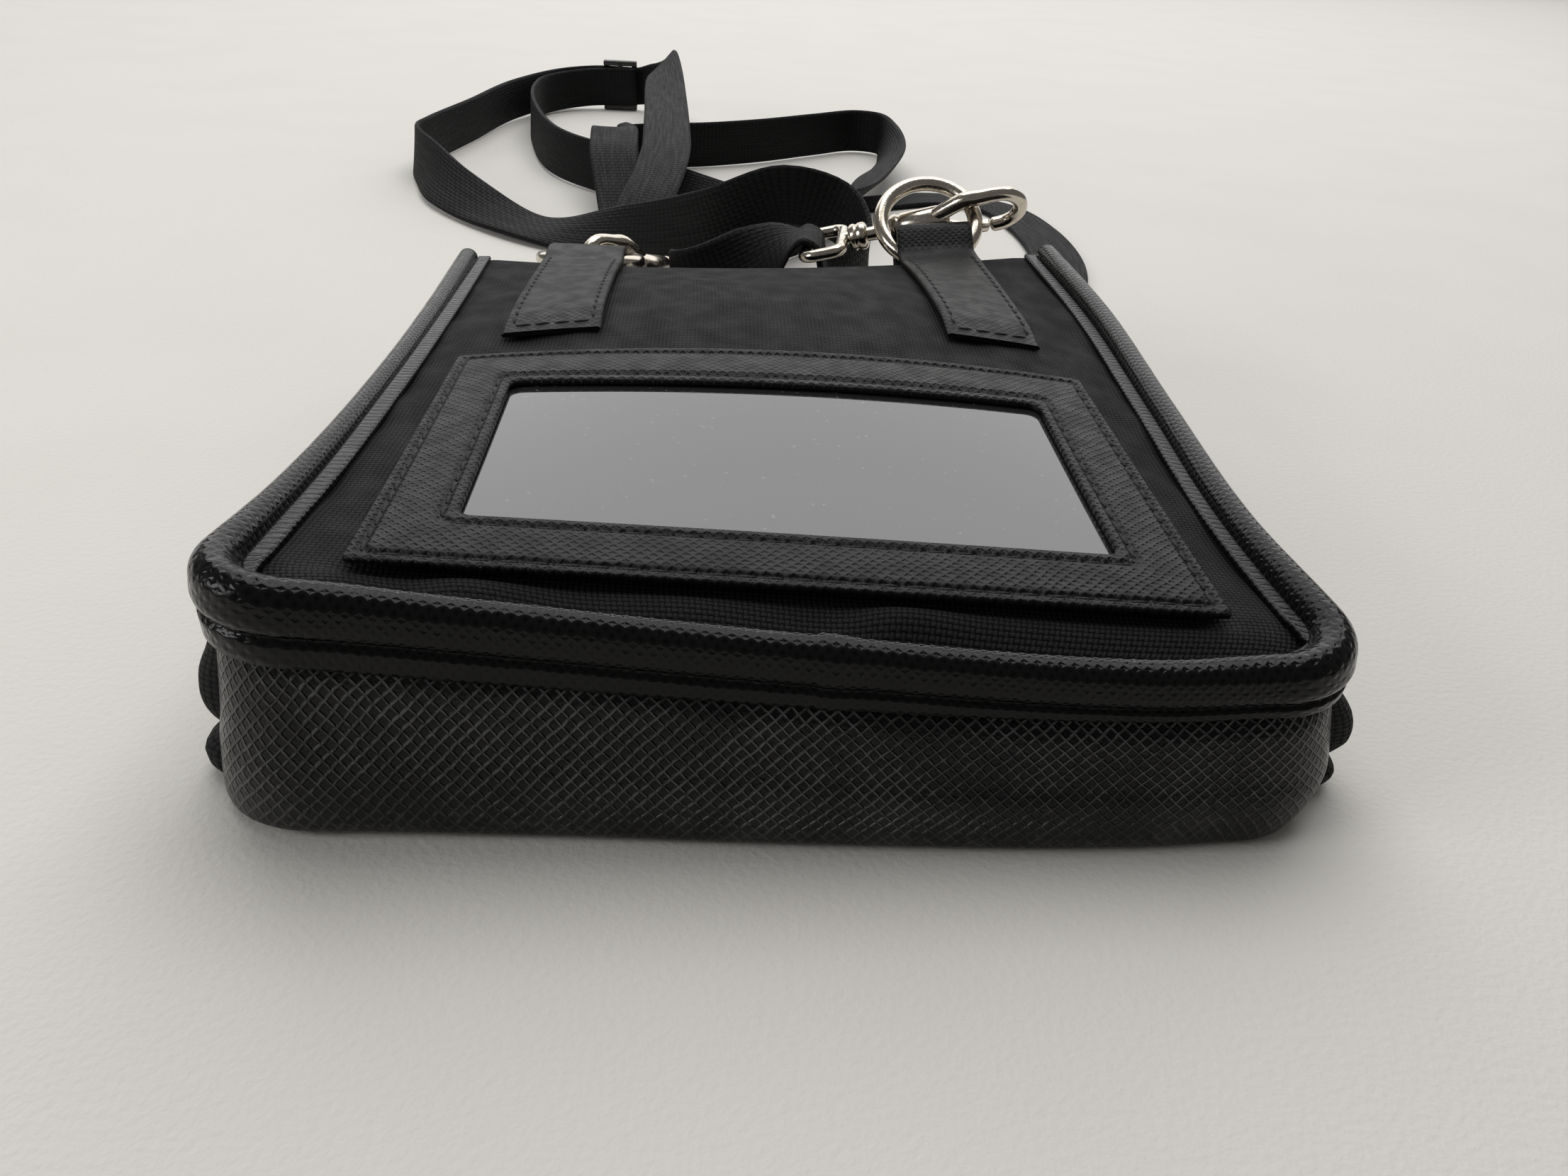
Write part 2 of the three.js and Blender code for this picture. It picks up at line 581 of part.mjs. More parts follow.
function circlePoints(sides) {
  const angles = spread(0, 2 * Math.PI, sides).slice(0, -1);
  return angles.map((angle) => [Math.cos(angle), Math.sin(angle)]);
}

// Round bar along a line of points in the plane square to 'across', with a radius for each point
function barAlong(points, radii, across, closed = false) {
  const curve = new THREE.CatmullRomCurve3(points, closed);
  const circle = circlePoints(barSides);
  const spans = closed ? points.length : points.length - 1;
  const rings = points.map((at, k) => {
    const normal = new THREE.Vector3().crossVectors(curve.getTangent(k / spans), across).normalize();
    return circle.map(([inPlane, sideways]) => {
      const point = at.clone().addScaledVector(normal, radii[k] * inPlane);
      return point.addScaledVector(across, radii[k] * sideways);
    });
  });
  return loft(rings, outlineEnd(circle), closed);
}

// Solid of revolution about the hook's length
function turned(profile) {
  const points = profile.map(([x, radius]) => new THREE.Vector2(radius, x));
  const geometry = new THREE.LatheGeometry(points, roundSides);
  geometry.rotateZ(-Math.PI / 2);
  return geometry;
}

function plate(outline, thickness) {
  const shape = new THREE.Shape(outline.map(([x, z]) => new THREE.Vector2(x, z)));
  const geometry = new THREE.ExtrudeGeometry(shape, { depth: thickness, bevelEnabled: false });
  geometry.translate(0, 0, -thickness / 2);
  geometry.rotateX(Math.PI / 2);
  return geometry;
}

function clawSolid() {
  const { wire, bend, bendX, backX, noseX } = claw;
  const points = clawRoot.map(({ x, z }) => new THREE.Vector3(x, 0, z));
  points.push(new THREE.Vector3(backX, 0, bend), new THREE.Vector3((backX + bendX) / 2, 0, bend));
  for (const angle of spread(Math.PI / 2, -Math.PI / 2, 8)) {
    points.push(new THREE.Vector3(bendX + bend * Math.cos(angle), 0, bend * Math.sin(angle)));
  }
  const radii = points.map((_, k) => (k > clawRoot.length ? wire : claw.rootWire));
  points.push(new THREE.Vector3(noseX, 0, -bend));
  radii.push(claw.noseWire);
  return toSolid(barAlong(points, radii, new THREE.Vector3(0, 1, 0)));
}

function hookBody() {
  const { rear, front, radius, boreRadius, boreDepth } = barrel;
  const outside = turned([
    [rear, 0], [rear, radius * 0.78], [rear + 1.2, radius], [front - 2.5, radius],
    [front - 0.6, radius * 0.85], [front, radius * 0.6], [front, 0],
  ]);
  const boreEnd = rear + boreDepth;
  const bore = turned([[rear - 1, 0], [rear - 1, boreRadius], [boreEnd, boreRadius], [boreEnd, 0]]);
  const slotWidth = gate.thickness + 2 * seatGap;
  const slotTop = gate.pivotZ + gate.hub + seatGap;
  const slotRear = gate.pivotX - gate.slotReach;
  const slotCorners = [
    [slotRear, slotTop], [front + 1, slotTop], [front + 1, -radius - 1], [slotRear, -radius - 1],
  ];
  const slot = toSolid(plate(slotCorners, slotWidth));
  const pin = new THREE.CylinderGeometry(gate.pin, gate.pin, slotWidth + 1, barSides);
  pin.translate(gate.pivotX, 0, gate.pivotZ);
  const hollowed = toSolid(outside).add(clawSolid()).subtract(toSolid(bore)).subtract(slot);
  return hollowed.add(toSolid(pin));
}

// Sprung lever that closes the claw, drawn about its pivot
function hookGate() {
  const { pivotX, pivotZ, hub, pin, thickness, knob } = gate;
  const noseTop = claw.noseWire - claw.bend - pivotZ;
  const reach = Math.hypot(claw.noseX - pivotX, noseTop) - seatGap;
  const arm = plate(gateArm.map(({ x, z }) => [Math.min(x, Math.sqrt(reach ** 2 - z ** 2)), z]), thickness);
  const tail = plate(gateTail.map(({ x, z }) => [x, z]), thickness);
  const hubDisc = new THREE.CylinderGeometry(hub, hub, thickness, roundSides);
  const pinRoom = pin + seatGap;
  const hole = new THREE.CylinderGeometry(pinRoom, pinRoom, 2 * thickness, barSides);
  const button = new THREE.SphereGeometry(knob, 10, 7);
  button.translate(gateKnob.x, 0, gateKnob.z);
  const lever = toSolid(hubDisc).add(toSolid(arm)).add(toSolid(tail)).add(toSolid(button));
  const geometry = fromSolid(lever.subtract(toSolid(hole)));
  return geometry.translate(pivotX, 0, pivotZ);
}

// Swivel: a post that turns in the barrel and a loop for the strap
function hookSwivel() {
  const { post, frontX, rearX, halfY, wire, corner } = swivel;
  const postFront = barrel.rear + barrel.boreDepth - seatGap;
  const { rear, front, radius, chamfer } = collar;
  const stem = turned([
    [frontX, 0], [frontX, post], [rear, post], [rear, radius - chamfer], [rear + chamfer, radius],
    [front - chamfer, radius], [front, radius - chamfer], [front, post], [postFront, post], [postFront, 0],
  ]);
  const points = [];
  const corners = [
    { x: frontX - corner, y: halfY - corner, from: 0 },
    { x: rearX + corner, y: halfY - corner, from: 90 },
    { x: rearX + corner, y: -halfY + corner, from: 180 },
    { x: frontX - corner, y: -halfY + corner, from: 270 },
  ];
  for (const { x, y, from } of corners) {
    for (const angle of spread(from, from + 90, 3)) {
      const [dx, dy] = [Math.cos(degrees(angle)), Math.sin(degrees(angle))];
      points.push(new THREE.Vector3(x + corner * dx, y + corner * dy, 0));
    }
  }
  const loop = barAlong(points, points.map(() => wire), new THREE.Vector3(0, 0, 1), true);
  return toSolid(stem).add(toSolid(loop));
}

function addClasp(clasp) {
  const tab = tabs.find(({ side }) => side === clasp.side);
  const pitch = degrees(clasp.ringPitch);
  addTab(tab, pitch);

  const seat = ringSeat(tab);
  const ringGroup = new THREE.Group();
  ringGroup.rotation.set(pitch, -Math.atan(mouthSlope(tab)), 0, 'YXZ');
  ringGroup.position.set(0, ringRadius, 0).applyEuler(ringGroup.rotation).add(seat);
  pouch.add(ringGroup);
  addMesh(ringGroup, `ring_${clasp.side}`, new THREE.TorusGeometry(ringRadius, ringWire, 8, 28), 'metal');

  const gripGroup = new THREE.Group();
  const grip = degrees(clasp.grip);
  gripGroup.position.set(ringRadius * Math.cos(grip), ringRadius * Math.sin(grip), 0);
  gripGroup.rotation.z = degrees(clasp.heading);
  ringGroup.add(gripGroup);
  const hookGroup = new THREE.Group();
  hookGroup.name = `hook_${clasp.side}`;
  hookGroup.position.z = -hookDrop;
  hookGroup.rotation.set(0, degrees(clasp.tilt), degrees(clasp.spin));
  gripGroup.add(hookGroup);
  addMesh(hookGroup, `hook_body_${clasp.side}`, fromSolid(hookBody()), 'metal');
  addMesh(hookGroup, `hook_gate_${clasp.side}`, hookGate(), 'metal');
  const eye = addMesh(hookGroup, `hook_swivel_${clasp.side}`, fromSolid(hookSwivel()), 'metal');
  eye.rotation.x = degrees(clasp.turn);
}

function addStrap() {
  const places = strapRoute.map(({ x, y, z }) => new THREE.Vector3(x, y, z));
  const directions = strapRoute.map(({ wx, wy, wz }) => new THREE.Vector3(wx, wy, wz));
  const line = new THREE.CatmullRomCurve3(places);
  const widths = new THREE.CatmullRomCurve3(directions, false, 'catmullrom');
  const spans = strapRoute.length - 1;
  const rings = [];
  for (let k = 0; k < spans; k += 1) {
    const length = line.getPoint(k / spans).distanceTo(line.getPoint((k + 1) / spans));
    const steps = Math.max(2, Math.round(length / strapStep));
    for (let j = 0; j < steps + (k === spans - 1 ? 1 : 0); j += 1) {
      const t = (k + j / steps) / spans;
      const tangent = line.getTangent(t);
      const across = widths.getPoint(t);
      across.addScaledVector(tangent, -across.dot(tangent)).setLength(strapWidth / 2);
      const through = new THREE.Vector3().crossVectors(across, tangent).setLength(strapThickness / 2);
      const at = line.getPoint(t);
      rings.push([
        at.clone().add(across).add(through),
        at.clone().add(across).sub(through),
        at.clone().sub(across).sub(through),
        at.clone().sub(across).add(through),
      ]);
    }
  }
  addMesh(pouch, 'strap', loft(rings, [[0, 1, 2], [0, 2, 3]]), 'webbing');
}

// Three-bar slider: the strap runs behind the middle bar and in front of the outer two
function addSlider() {
  const { x, y, z, length, rail, bar, barThickness } = slider;
  const halfStrap = strapThickness / 2 + seatGap;
  const inner = strapWidth / 2 + seatGap;
  const depth = 2 * (halfStrap + barThickness);
  const box = (sizeX, sizeY, sizeZ, atX, atY, atZ) => {
    const geometry = new THREE.BoxGeometry(sizeX, sizeY, sizeZ);
    return toSolid(geometry.translate(x + atX, y + atY, z + atZ));
  };
  const barAt = halfStrap + barThickness / 2;
  const tall = 2 * (inner + rail);
  const solid = box(length, depth, rail, 0, 0, inner + rail / 2)
    .add(box(length, depth, rail, 0, 0, -inner - rail / 2))
    .add(box(bar, barThickness, tall, -length / 2 + bar / 2, barAt, 0))
    .add(box(bar, barThickness, tall, length / 2 - bar / 2, barAt, 0))
    .add(box(bar, barThickness, tall, 0, -barAt, 0));
  addMesh(pouch, 'strap_slider', fromSolid(solid), 'slider');
}

addFrontPanel();
addUpperPanel();
addGussets();
addPiping();
addWindow();
clasps.forEach(addClasp);
addStrap();
addSlider();

export default pouch;
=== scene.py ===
from math import asin, atan, ceil, cos, pi, radians, sin, sqrt
import bmesh
import bpy
from mathutils import Matrix, Vector, noise


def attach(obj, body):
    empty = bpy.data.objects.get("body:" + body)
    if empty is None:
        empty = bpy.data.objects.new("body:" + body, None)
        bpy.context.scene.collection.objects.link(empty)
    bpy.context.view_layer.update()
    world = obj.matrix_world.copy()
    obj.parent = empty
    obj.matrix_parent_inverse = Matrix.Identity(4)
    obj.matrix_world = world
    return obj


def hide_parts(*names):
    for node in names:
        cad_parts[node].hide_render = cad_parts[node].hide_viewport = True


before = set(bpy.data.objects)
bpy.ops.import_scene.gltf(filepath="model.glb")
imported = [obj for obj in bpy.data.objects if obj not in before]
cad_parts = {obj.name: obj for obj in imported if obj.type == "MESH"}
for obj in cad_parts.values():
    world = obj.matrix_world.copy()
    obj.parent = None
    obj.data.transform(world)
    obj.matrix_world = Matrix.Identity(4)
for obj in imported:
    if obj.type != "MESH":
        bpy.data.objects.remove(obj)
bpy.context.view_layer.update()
mm = 0.001  # lengths below are in millimetres
upright = Vector((0, 0, 1))
print("frame loaded:", len(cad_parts), "nodes")


# small makers shared by the pieces
def addObject(name, data):
    thing = bpy.data.objects.new(name, data)
    bpy.context.scene.collection.objects.link(thing)
    return thing


def meshFrom(name, bm):  # takes over the shape and frees the bmesh
    mesh = bpy.data.meshes.new(name)
    bm.to_mesh(mesh)
    bm.free()
    return mesh


def mix(a, b, share):
    return a + (b - a) * share


def spread(start, end, count):
    return [mix(start, end, k / count) for k in range(count + 1)]


def smoothStep(at, low, high):
    share = min(max((at - low) / (high - low), 0), 1)
    return share * share * (3 - 2 * share)


def hump(at, middle, half):
    return max(0, 1 - ((at - middle) / half) ** 2) ** 2


def smoothAt(table, at):  # smooth curve through a short table of (place, value)
    at = min(max(at, table[0][0]), table[-1][0])
    k = next(i for i in range(1, len(table)) if at <= table[i][0])
    (t0, v0), (t1, v1) = table[k - 1], table[k]
    tPrev, vPrev = table[k - 2] if k > 1 else (t1, v1)
    tNext, vNext = table[k + 1] if k + 1 < len(table) else (t0, v0)
    half = 0.5 * (t1 - t0)
    a, b = half / (t0 - tPrev), half / (tNext - t1)
    p = (at - t0) / (t1 - t0)
    start = ((1 + a) * p - 1.5 - 2 * a) * p * p + (a - 0.5) * p + 1
    end = ((-1 - b) * p + 1.5 + b) * p * p + 0.5 * p
    return -a * p * (p - 1) ** 2 * vPrev + start * v0 + end * v1 + b * p * p * (p - 1) * vNext


def runOf(points):  # distance along a row of points
    runs = [0.0]
    for a, b in zip(points, points[1:]):
        runs.append(runs[-1] + (b - a).length)
    return runs


def skin(rows):  # surface laid through rings of points, open ends filled, its map in mm
    bm = bmesh.new()
    lay = bm.loops.layers.uv.new("lay")
    across, along = len(rows[0]) - 1, len(rows) - 1
    bmesh.ops.create_grid(bm, x_segments=across, y_segments=along, size=0.5)
    acrossRun = runOf(rows[along // 2])
    alongRun = runOf([row[across // 4] for row in rows])
    spots = {}
    for vert in bm.verts:
        spots[vert] = (round((vert.co.x + 0.5) * across), round((vert.co.y + 0.5) * along))
    for face in bm.faces:
        for loop in face.loops:
            i, j = spots[loop.vert]
            loop[lay].uv = (alongRun[j], acrossRun[i])
    for vert, (i, j) in spots.items():
        vert.co = rows[j][i] * mm
    bmesh.ops.remove_doubles(bm, verts=bm.verts[:], dist=1e-6)
    bmesh.ops.holes_fill(bm, edges=[edge for edge in bm.edges if edge.is_boundary], sides=0)
    bmesh.ops.recalc_face_normals(bm, faces=bm.faces[:])
    return bm


def finishPiece(name, bm, material, node=None, sharp=None, body="pouch"):
    for face in bm.faces:
        face.smooth = True
    if sharp:
        for edge in bm.edges:
            edge.smooth = edge.calc_face_angle(0) < radians(sharp)
    mesh = meshFrom(name, bm)
    mesh.materials.append(material)
    piece = addObject(name, mesh)
    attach(piece, body)
    if node:
        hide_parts(node)
    print(name, "made,", len(mesh.polygons), "faces")
    return piece


def spinRound(bm, geom, axis, turns):  # one full turn, closed up
    bmesh.ops.spin(bm, geom=geom, cent=(0, 0, 0), axis=axis, angle=2 * pi, steps=turns, use_merge=True)
    bmesh.ops.remove_doubles(bm, verts=bm.verts[:], dist=1e-7)
    bmesh.ops.recalc_face_normals(bm, faces=bm.faces[:])
    return bm


def spun(profile):  # profile of (x, radius) spun about the x axis
    bm = bmesh.new()
    verts = [bm.verts.new((x * mm, 0, radius * mm)) for x, radius in profile]
    edges = [bm.edges.new(pair) for pair in zip(verts, verts[1:])]
    return spinRound(bm, verts + edges, (1, 0, 0), 48)


def tubeRows(points, radii, across, sides, closed=False):  # rings round a line that lies square to across
    count = len(points)
    rows = []
    for k, at in enumerate(points):
        before = points[(k - 1) % count] if closed or k else at
        after = points[(k + 1) % count] if closed or k + 1 < count else at
        flat = (after - before).cross(across).normalized()
        rows.append([at + radii[k] * (cos(a) * flat + sin(a) * across) for a in spread(0, 2 * pi, sides)])
    return rows + rows[:1] if closed else rows


def roundCorners(left, right, low, high, radius, steps):  # arcs at the four corners, in turn
    arcs = []
    for x, y, start in ((left, low, 180), (right, low, 270), (right, high, 0), (left, high, 90)):
        turns = [radians(turn) for turn in spread(start, start + 90, steps)]
        arcs.append([(x + radius * cos(a), y + radius * sin(a)) for a in turns])
    return arcs


def straight(start, end, count):  # points on a line between two (x, y)
    return [(mix(start[0], end[0], share), mix(start[1], end[1], share)) for share in spread(0, 1, count)]


def boxAt(size, place):
    bm = bmesh.new()
    bmesh.ops.create_cube(bm, size=1)
    bmesh.ops.scale(bm, vec=Vector(size) * mm, verts=bm.verts[:])
    bmesh.ops.translate(bm, vec=Vector(place) * mm, verts=bm.verts[:])
    return bm


def roundEdges(bm, edge):
    bmesh.ops.bevel(bm, geom=bm.edges[:], offset=edge * mm, offset_type="OFFSET", affect="EDGES", segments=3,
                    profile=0.5, material=-1, clamp_overlap=True)
    return bm


def joinInto(bm, other):  # adds one bmesh's shape to another
    mesh = meshFrom("part", other)
    bm.from_mesh(mesh)
    bpy.data.meshes.remove(mesh)


# the camera stands where the photograph was taken
cameraView = {"place": (-11.27, -173.83, 89.77), "pitch": 30.364, "turn": 4.814, "roll": 3.5, "lens": 27.667,
              "sensor": 36, "nearest": 0.005}


def setCamera(view):
    pitch, turn, roll = (radians(view[key]) for key in ("pitch", "turn", "roll"))
    ahead = Vector((sin(turn) * cos(pitch), cos(turn) * cos(pitch), -sin(pitch)))
    right = Vector((cos(turn), -sin(turn), 0))
    up = right.cross(ahead)
    rightward = cos(roll) * right + sin(roll) * up
    upward = cos(roll) * up - sin(roll) * right
    camera = addObject("photoCamera", bpy.data.cameras.new("photoCamera"))
    camera.data.sensor_width = view["sensor"]
    camera.data.lens = view["lens"]
    camera.data.clip_start = view["nearest"]
    turned = Matrix((rightward, upward, -ahead)).transposed().to_4x4()
    camera.matrix_world = Matrix.Translation(Vector(view["place"]) * mm) @ turned
    bpy.context.scene.camera = camera


setCamera(cameraView)
print("camera set")


# a material and the nodes that make its look, their patterns in millimetres
class Shading:
    def __init__(self, name, base, roughness, **sockets):
        self.material = bpy.data.materials.new(name)
        self.material.use_nodes = True
        self.tree = self.material.node_tree
        self.inputs = self.tree.nodes["Principled BSDF"].inputs
        self.inputs["Base Color"].default_value = (*base, 1)
        self.inputs["Roughness"].default_value = roughness
        for socket, value in sockets.items():
            self.inputs[socket.replace("_", " ")].default_value = value

    def join(self, value, socket):  # links an output, or sets a number
        if isinstance(value, bpy.types.NodeSocket):
            self.tree.links.new(value, socket)
        else:
            socket.default_value = value

    def node(self, kind, *values, **settings):  # a node with its first inputs joined
        node = self.tree.nodes.new("ShaderNode" + kind)
        for key, value in settings.items():
            setattr(node, key, value)
        for value, socket in zip(values, node.inputs):
            self.join(value, socket)
        return node

    def reckon(self, operation, *values):
        return self.node("Math", *values, operation=operation).outputs[0]

    def add(self, a, b):
        return self.reckon("ADD", a, b)

    def times(self, a, b):
        return self.reckon("MULTIPLY", a, b)

    def ease(self, value, low, high, first=0.0, last=1.0):  # smooth change from first to last
        node = self.node("MapRange", value, low, high, first, last, interpolation_type="SMOOTHSTEP")
        return node.outputs[0]

    def blend(self, share, first, last):
        node = self.node("Mix", data_type="RGBA")
        self.join(share, node.inputs[0])
        node.inputs[6].default_value = (*first, 1)
        node.inputs[7].default_value = (*last, 1)
        return node.outputs[2]

    def grain(self, place, scale, detail, kind="Fac"):
        return self.node("TexNoise", place, 0.0, scale, detail).outputs[kind]

    def onObject(self):  # object coordinates in millimetres
        place = self.node("TexCoord").outputs["Object"]
        return self.node("VectorMath", place, (1 / mm,) * 3, operation="MULTIPLY").outputs[0]

    def onLay(self):  # along and across the piece's own surface
        return self.node("UVMap", uv_map="lay").outputs["UV"]

    def stretched(self, place, scale, turn=0.0):
        return self.node("Mapping", place, (0, 0, 0), (0, 0, turn), scale).outputs["Vector"]

    def split(self, place):
        return self.node("SeparateXYZ", place).outputs

    def emboss(self, height, depth):
        node = self.node("Bump")
        node.inputs["Distance"].default_value = depth * mm
        self.tree.links.new(height, node.inputs["Height"])
        self.tree.links.new(node.outputs["Normal"], self.inputs["Normal"])

    def colour(self, value):
        self.tree.links.new(value, self.inputs["Base Color"])

    def roughen(self, value):
        self.tree.links.new(value, self.inputs["Roughness"])

    def hatch(self, place, look):  # raised lines on both diagonals, with pits between
        drift = self.grain(place, 0.3, 1.0, "Color")
        sway, pitch, ridge = (look["wander"], look["wander"], 0), 1 / look["pitch"], look["ridge"]
        moved = self.node("VectorMath", drift, sway, place, operation="MULTIPLY_ADD").outputs[0]
        parts = self.split(self.stretched(moved, (pitch, pitch, 1), pi / 4))
        waves = [self.reckon("PINGPONG", parts[axis], 0.5) for axis in "XY"]
        return self.reckon("MAXIMUM", *[self.ease(wave, 0.2 * ridge, ridge, 1.0, 0.0) for wave in waves])


# leather pressed with a cross hatch, deep on the base and shallow elsewhere; its pit colour is painted shade
# and its lighter ridge colour is painted highlight
leathers = {
    "base": {"lay": True, "pitch": 1.14, "ridge": 0.21, "wander": 0.45, "depth": 0.4, "rough": 0.24,
             "shine": 0.24, "pit": (0.0004, 0.0004, 0.0004), "top": (0.088, 0.088, 0.089), "crease": 0.2,
             "patchy": 0.7, "fade": (2.0, 9.0), "lowHatch": 0.35, "lowPaintedLight": 0.22},
    "piping": {"lay": True, "pitch": 0.92, "ridge": 0.45, "wander": 0.7, "depth": 0.055, "rough": 0.15,
               "shine": 0.17, "pit": (0.0012, 0.0012, 0.0012), "top": (0.006, 0.006, 0.006), "crease": 1.0,
               "patchy": 0.2},
    "frame": {"lay": False, "pitch": 1.0, "ridge": 0.38, "wander": 0.8, "depth": 0.12, "rough": 0.42,
              "shine": 0.18, "pit": (0.001, 0.001, 0.001), "top": (0.0048, 0.0048, 0.0046), "crease": 0.35,
              "patchy": 0.3},
    "tab": {"lay": True, "pitch": 1.0, "ridge": 0.4, "wander": 0.8, "depth": 0.06, "rough": 0.44,
            "shine": 0.14, "pit": (0.002, 0.002, 0.002), "top": (0.006, 0.006, 0.006), "crease": 0.6,
            "patchy": 0.3},
    "pores": 0.22, "paintedRidgeLight": (0.14, 0.38), "worn": (0.35, 0.65), "duller": 0.08, "smoother": 0.06,
}


def makeLeather(name, kind):
    look = leathers[kind]
    shade = Shading(name, look["top"], look["rough"], Specular_IOR_Level=look["shine"])
    onObject = shade.onObject()
    hatch = shade.hatch(shade.onLay() if look["lay"] else onObject, look)
    if "fade" in look:  # the hatch is drawn flatter and lighter towards the floor; the lighter colour is painted light from the floor's bounce
        height = shade.split(onObject)["Z"]
        hatch = shade.times(hatch, shade.ease(height, *look["fade"], look["lowHatch"], 1.0))
        # painted light: lifts the hatch colour towards the ridge tone near the floor
        hatch = shade.add(hatch, shade.ease(height, *look["fade"], look["lowPaintedLight"], 0.0))
    pores = shade.times(shade.grain(onObject, 2.6, 4.0), leathers["pores"])
    wrinkle = shade.grain(onObject, 0.32, 4.0)
    relief = shade.add(shade.add(hatch, pores), shade.times(wrinkle, look["crease"]))
    shade.emboss(relief, look["depth"])
    # painted light: the hatch's pits are coloured near black for the shade in them, and its ridges lighter in
    # patches as painted highlights
    paintedRidgeLight = shade.times(shade.grain(onObject, 0.09, 2.0), shade.grain(onObject, 1.3, 1.0))
    paintedRidgeLight = shade.times(hatch, shade.ease(paintedRidgeLight, *leathers["paintedRidgeLight"], 1 - look["patchy"], 1.0))
    shade.colour(shade.blend(paintedRidgeLight, look["pit"], look["top"]))
    dull, smooth = look["rough"] + leathers["duller"], look["rough"] - leathers["smoother"]
    shade.roughen(shade.ease(wrinkle, *leathers["worn"], dull, smooth))
    return shade.material


baseLeather = makeLeather("deepHatchLeather", "base")
pipingLeather = makeLeather("rolledHatchLeather", "piping")
frameLeather = makeLeather("flatHatchLeather", "frame")
tabLeather = makeLeather("tabHatchLeather", "tab")

# cloth: yarns over and under by turns
cloths = {
    "nylon": {"across": 0.62, "along": 0.62, "depth": 0.12, "rough": 0.7, "shine": 0.13, "streak": 0.1,
              "low": (0.001, 0.001, 0.0011), "high": (0.019, 0.019, 0.0195), "drawn": (0.16, 0.2, 1)},
    "webbing": {"across": 1.0, "along": 1.5, "depth": 0.16, "rough": 0.68, "shine": 0.2, "streak": 0.3,
                "low": (0.001, 0.001, 0.001), "high": (0.0065, 0.0065, 0.0067), "drawn": (0.08, 1.2, 1)},
    "flat": 0.55, "smoother": 0.06, "duller": 0.08,
}


def makeCloth(name, kind):
    look = cloths[kind]
    shade = Shading(name, look["high"], look["rough"], Specular_IOR_Level=look["shine"])
    place = shade.onLay()
    parts = shade.split(place)
    ways = (("X", "along"), ("Y", "across"))
    steps = [shade.reckon("DIVIDE", parts[axis], look[way]) for axis, way in ways]
    humps = [shade.reckon("ABSOLUTE", shade.reckon("SINE", shade.times(step, pi))) for step in steps]
    over = shade.reckon("PINGPONG", shade.add(*[shade.reckon("FLOOR", step) for step in steps]), 1.0)
    weave = 0.0
    for (a, b), seen in ((humps, over), (humps[::-1], shade.reckon("SUBTRACT", 1.0, over))):
        yarn = shade.times(a, shade.reckon("MULTIPLY_ADD", b, 1 - cloths["flat"], cloths["flat"]))
        weave = shade.add(weave, shade.times(yarn, seen))
    streak = shade.grain(shade.stretched(place, look["drawn"]), 1.0, 3.0)
    shade.emboss(shade.add(weave, shade.times(streak, look["streak"])), look["depth"])
    # painted shade: the hollows between the yarns are coloured darker
    shade.colour(shade.blend(shade.ease(weave, 0.1, 0.75), look["low"], look["high"]))
    smooth, dull = look["rough"] - cloths["smoother"], look["rough"] + cloths["duller"]
    shade.roughen(shade.ease(streak, 0.3, 0.7, smooth, dull))
    return shade.material


nylon = makeCloth("wovenNylon", "nylon")
webbing = makeCloth("wovenWebbing", "webbing")

# hard finishes: clear film, plated metal, painted slider and sewing thread
hardLooks = {
    "film": {"base": (0.02, 0.02, 0.02), "ior": 2.02, "smooth": 0.05, "smudged": 0.13, "wave": 0.05,
             "speck": (0.12, 0.12, 0.11)},
    "nickel": {"bright": (0.60, 0.55, 0.47), "dull": (0.44, 0.39, 0.32), "smooth": 0.12, "worn": 0.28,
               "scratch": 0.012, "metal": 1.0},
    "slider": {"bright": (0.06, 0.06, 0.058), "dull": (0.03, 0.03, 0.03), "smooth": 0.3, "worn": 0.5,
               "scratch": 0.03, "metal": 0.6},
    "thread": {"high": (0.006, 0.006, 0.006), "low": (0.001, 0.001, 0.001), "rough": 0.6, "shine": 0.3,
               "twist": 0.5, "fuzz": 0.3, "depth": 0.08},
}


def makeFilm(name, look):
    shade = Shading(name, look["base"], look["smooth"], IOR=look["ior"])
    place = shade.onObject()
    shade.emboss(shade.grain(place, 0.05, 1.0), look["wave"])
    shade.roughen(shade.ease(shade.grain(place, 0.11, 4.0), 0.42, 0.7, look["smooth"], look["smudged"]))
    speck = shade.ease(shade.grain(place, 1.4, 0.0), 0.8, 0.84)
    shade.colour(shade.blend(speck, look["base"], look["speck"]))
    return shade.material


def makeMetal(name, look):
    shade = Shading(name, look["bright"], look["smooth"], Metallic=look["metal"])
    place = shade.onObject()
    cloud = shade.grain(place, 0.35, 3.0)
    scratch = shade.grain(shade.stretched(place, (0.6, 5.0, 2.2), 0.5), 1.0, 2.0)
    shade.emboss(scratch, look["scratch"])
    shade.colour(shade.blend(shade.ease(cloud, 0.5, 0.75), look["bright"], look["dull"]))
    worn = shade.times(scratch, shade.add(cloud, 0.3))
    shade.roughen(shade.ease(worn, 0.25, 0.6, look["smooth"], look["worn"]))
    return shade.material


def makeThread(name, look):
    shade = Shading(name, look["high"], look["rough"], Specular_IOR_Level=look["shine"])
    place = shade.onObject()
    parts = shade.split(place)
    slant = shade.add(shade.add(parts["X"], parts["Y"]), parts["Z"])
    ply = shade.reckon("PINGPONG", shade.reckon("DIVIDE", slant, look["twist"]), 0.5)
    ply = shade.add(ply, shade.times(shade.grain(place, 6.0, 2.0), look["fuzz"]))
    shade.emboss(ply, look["depth"])
    # painted shade: the grooves between the twisted plies are coloured darker
    shade.colour(shade.blend(shade.ease(ply, 0.1, 0.6), look["low"], look["high"]))
    return shade.material


film = makeFilm("clearFilm", hardLooks["film"])
nickel = makeMetal("warmNickel", hardLooks["nickel"])
gunmetal = makeMetal("darkSlider", hardLooks["slider"])
thread = makeThread("blackThread", hardLooks["thread"])
print("materials made")

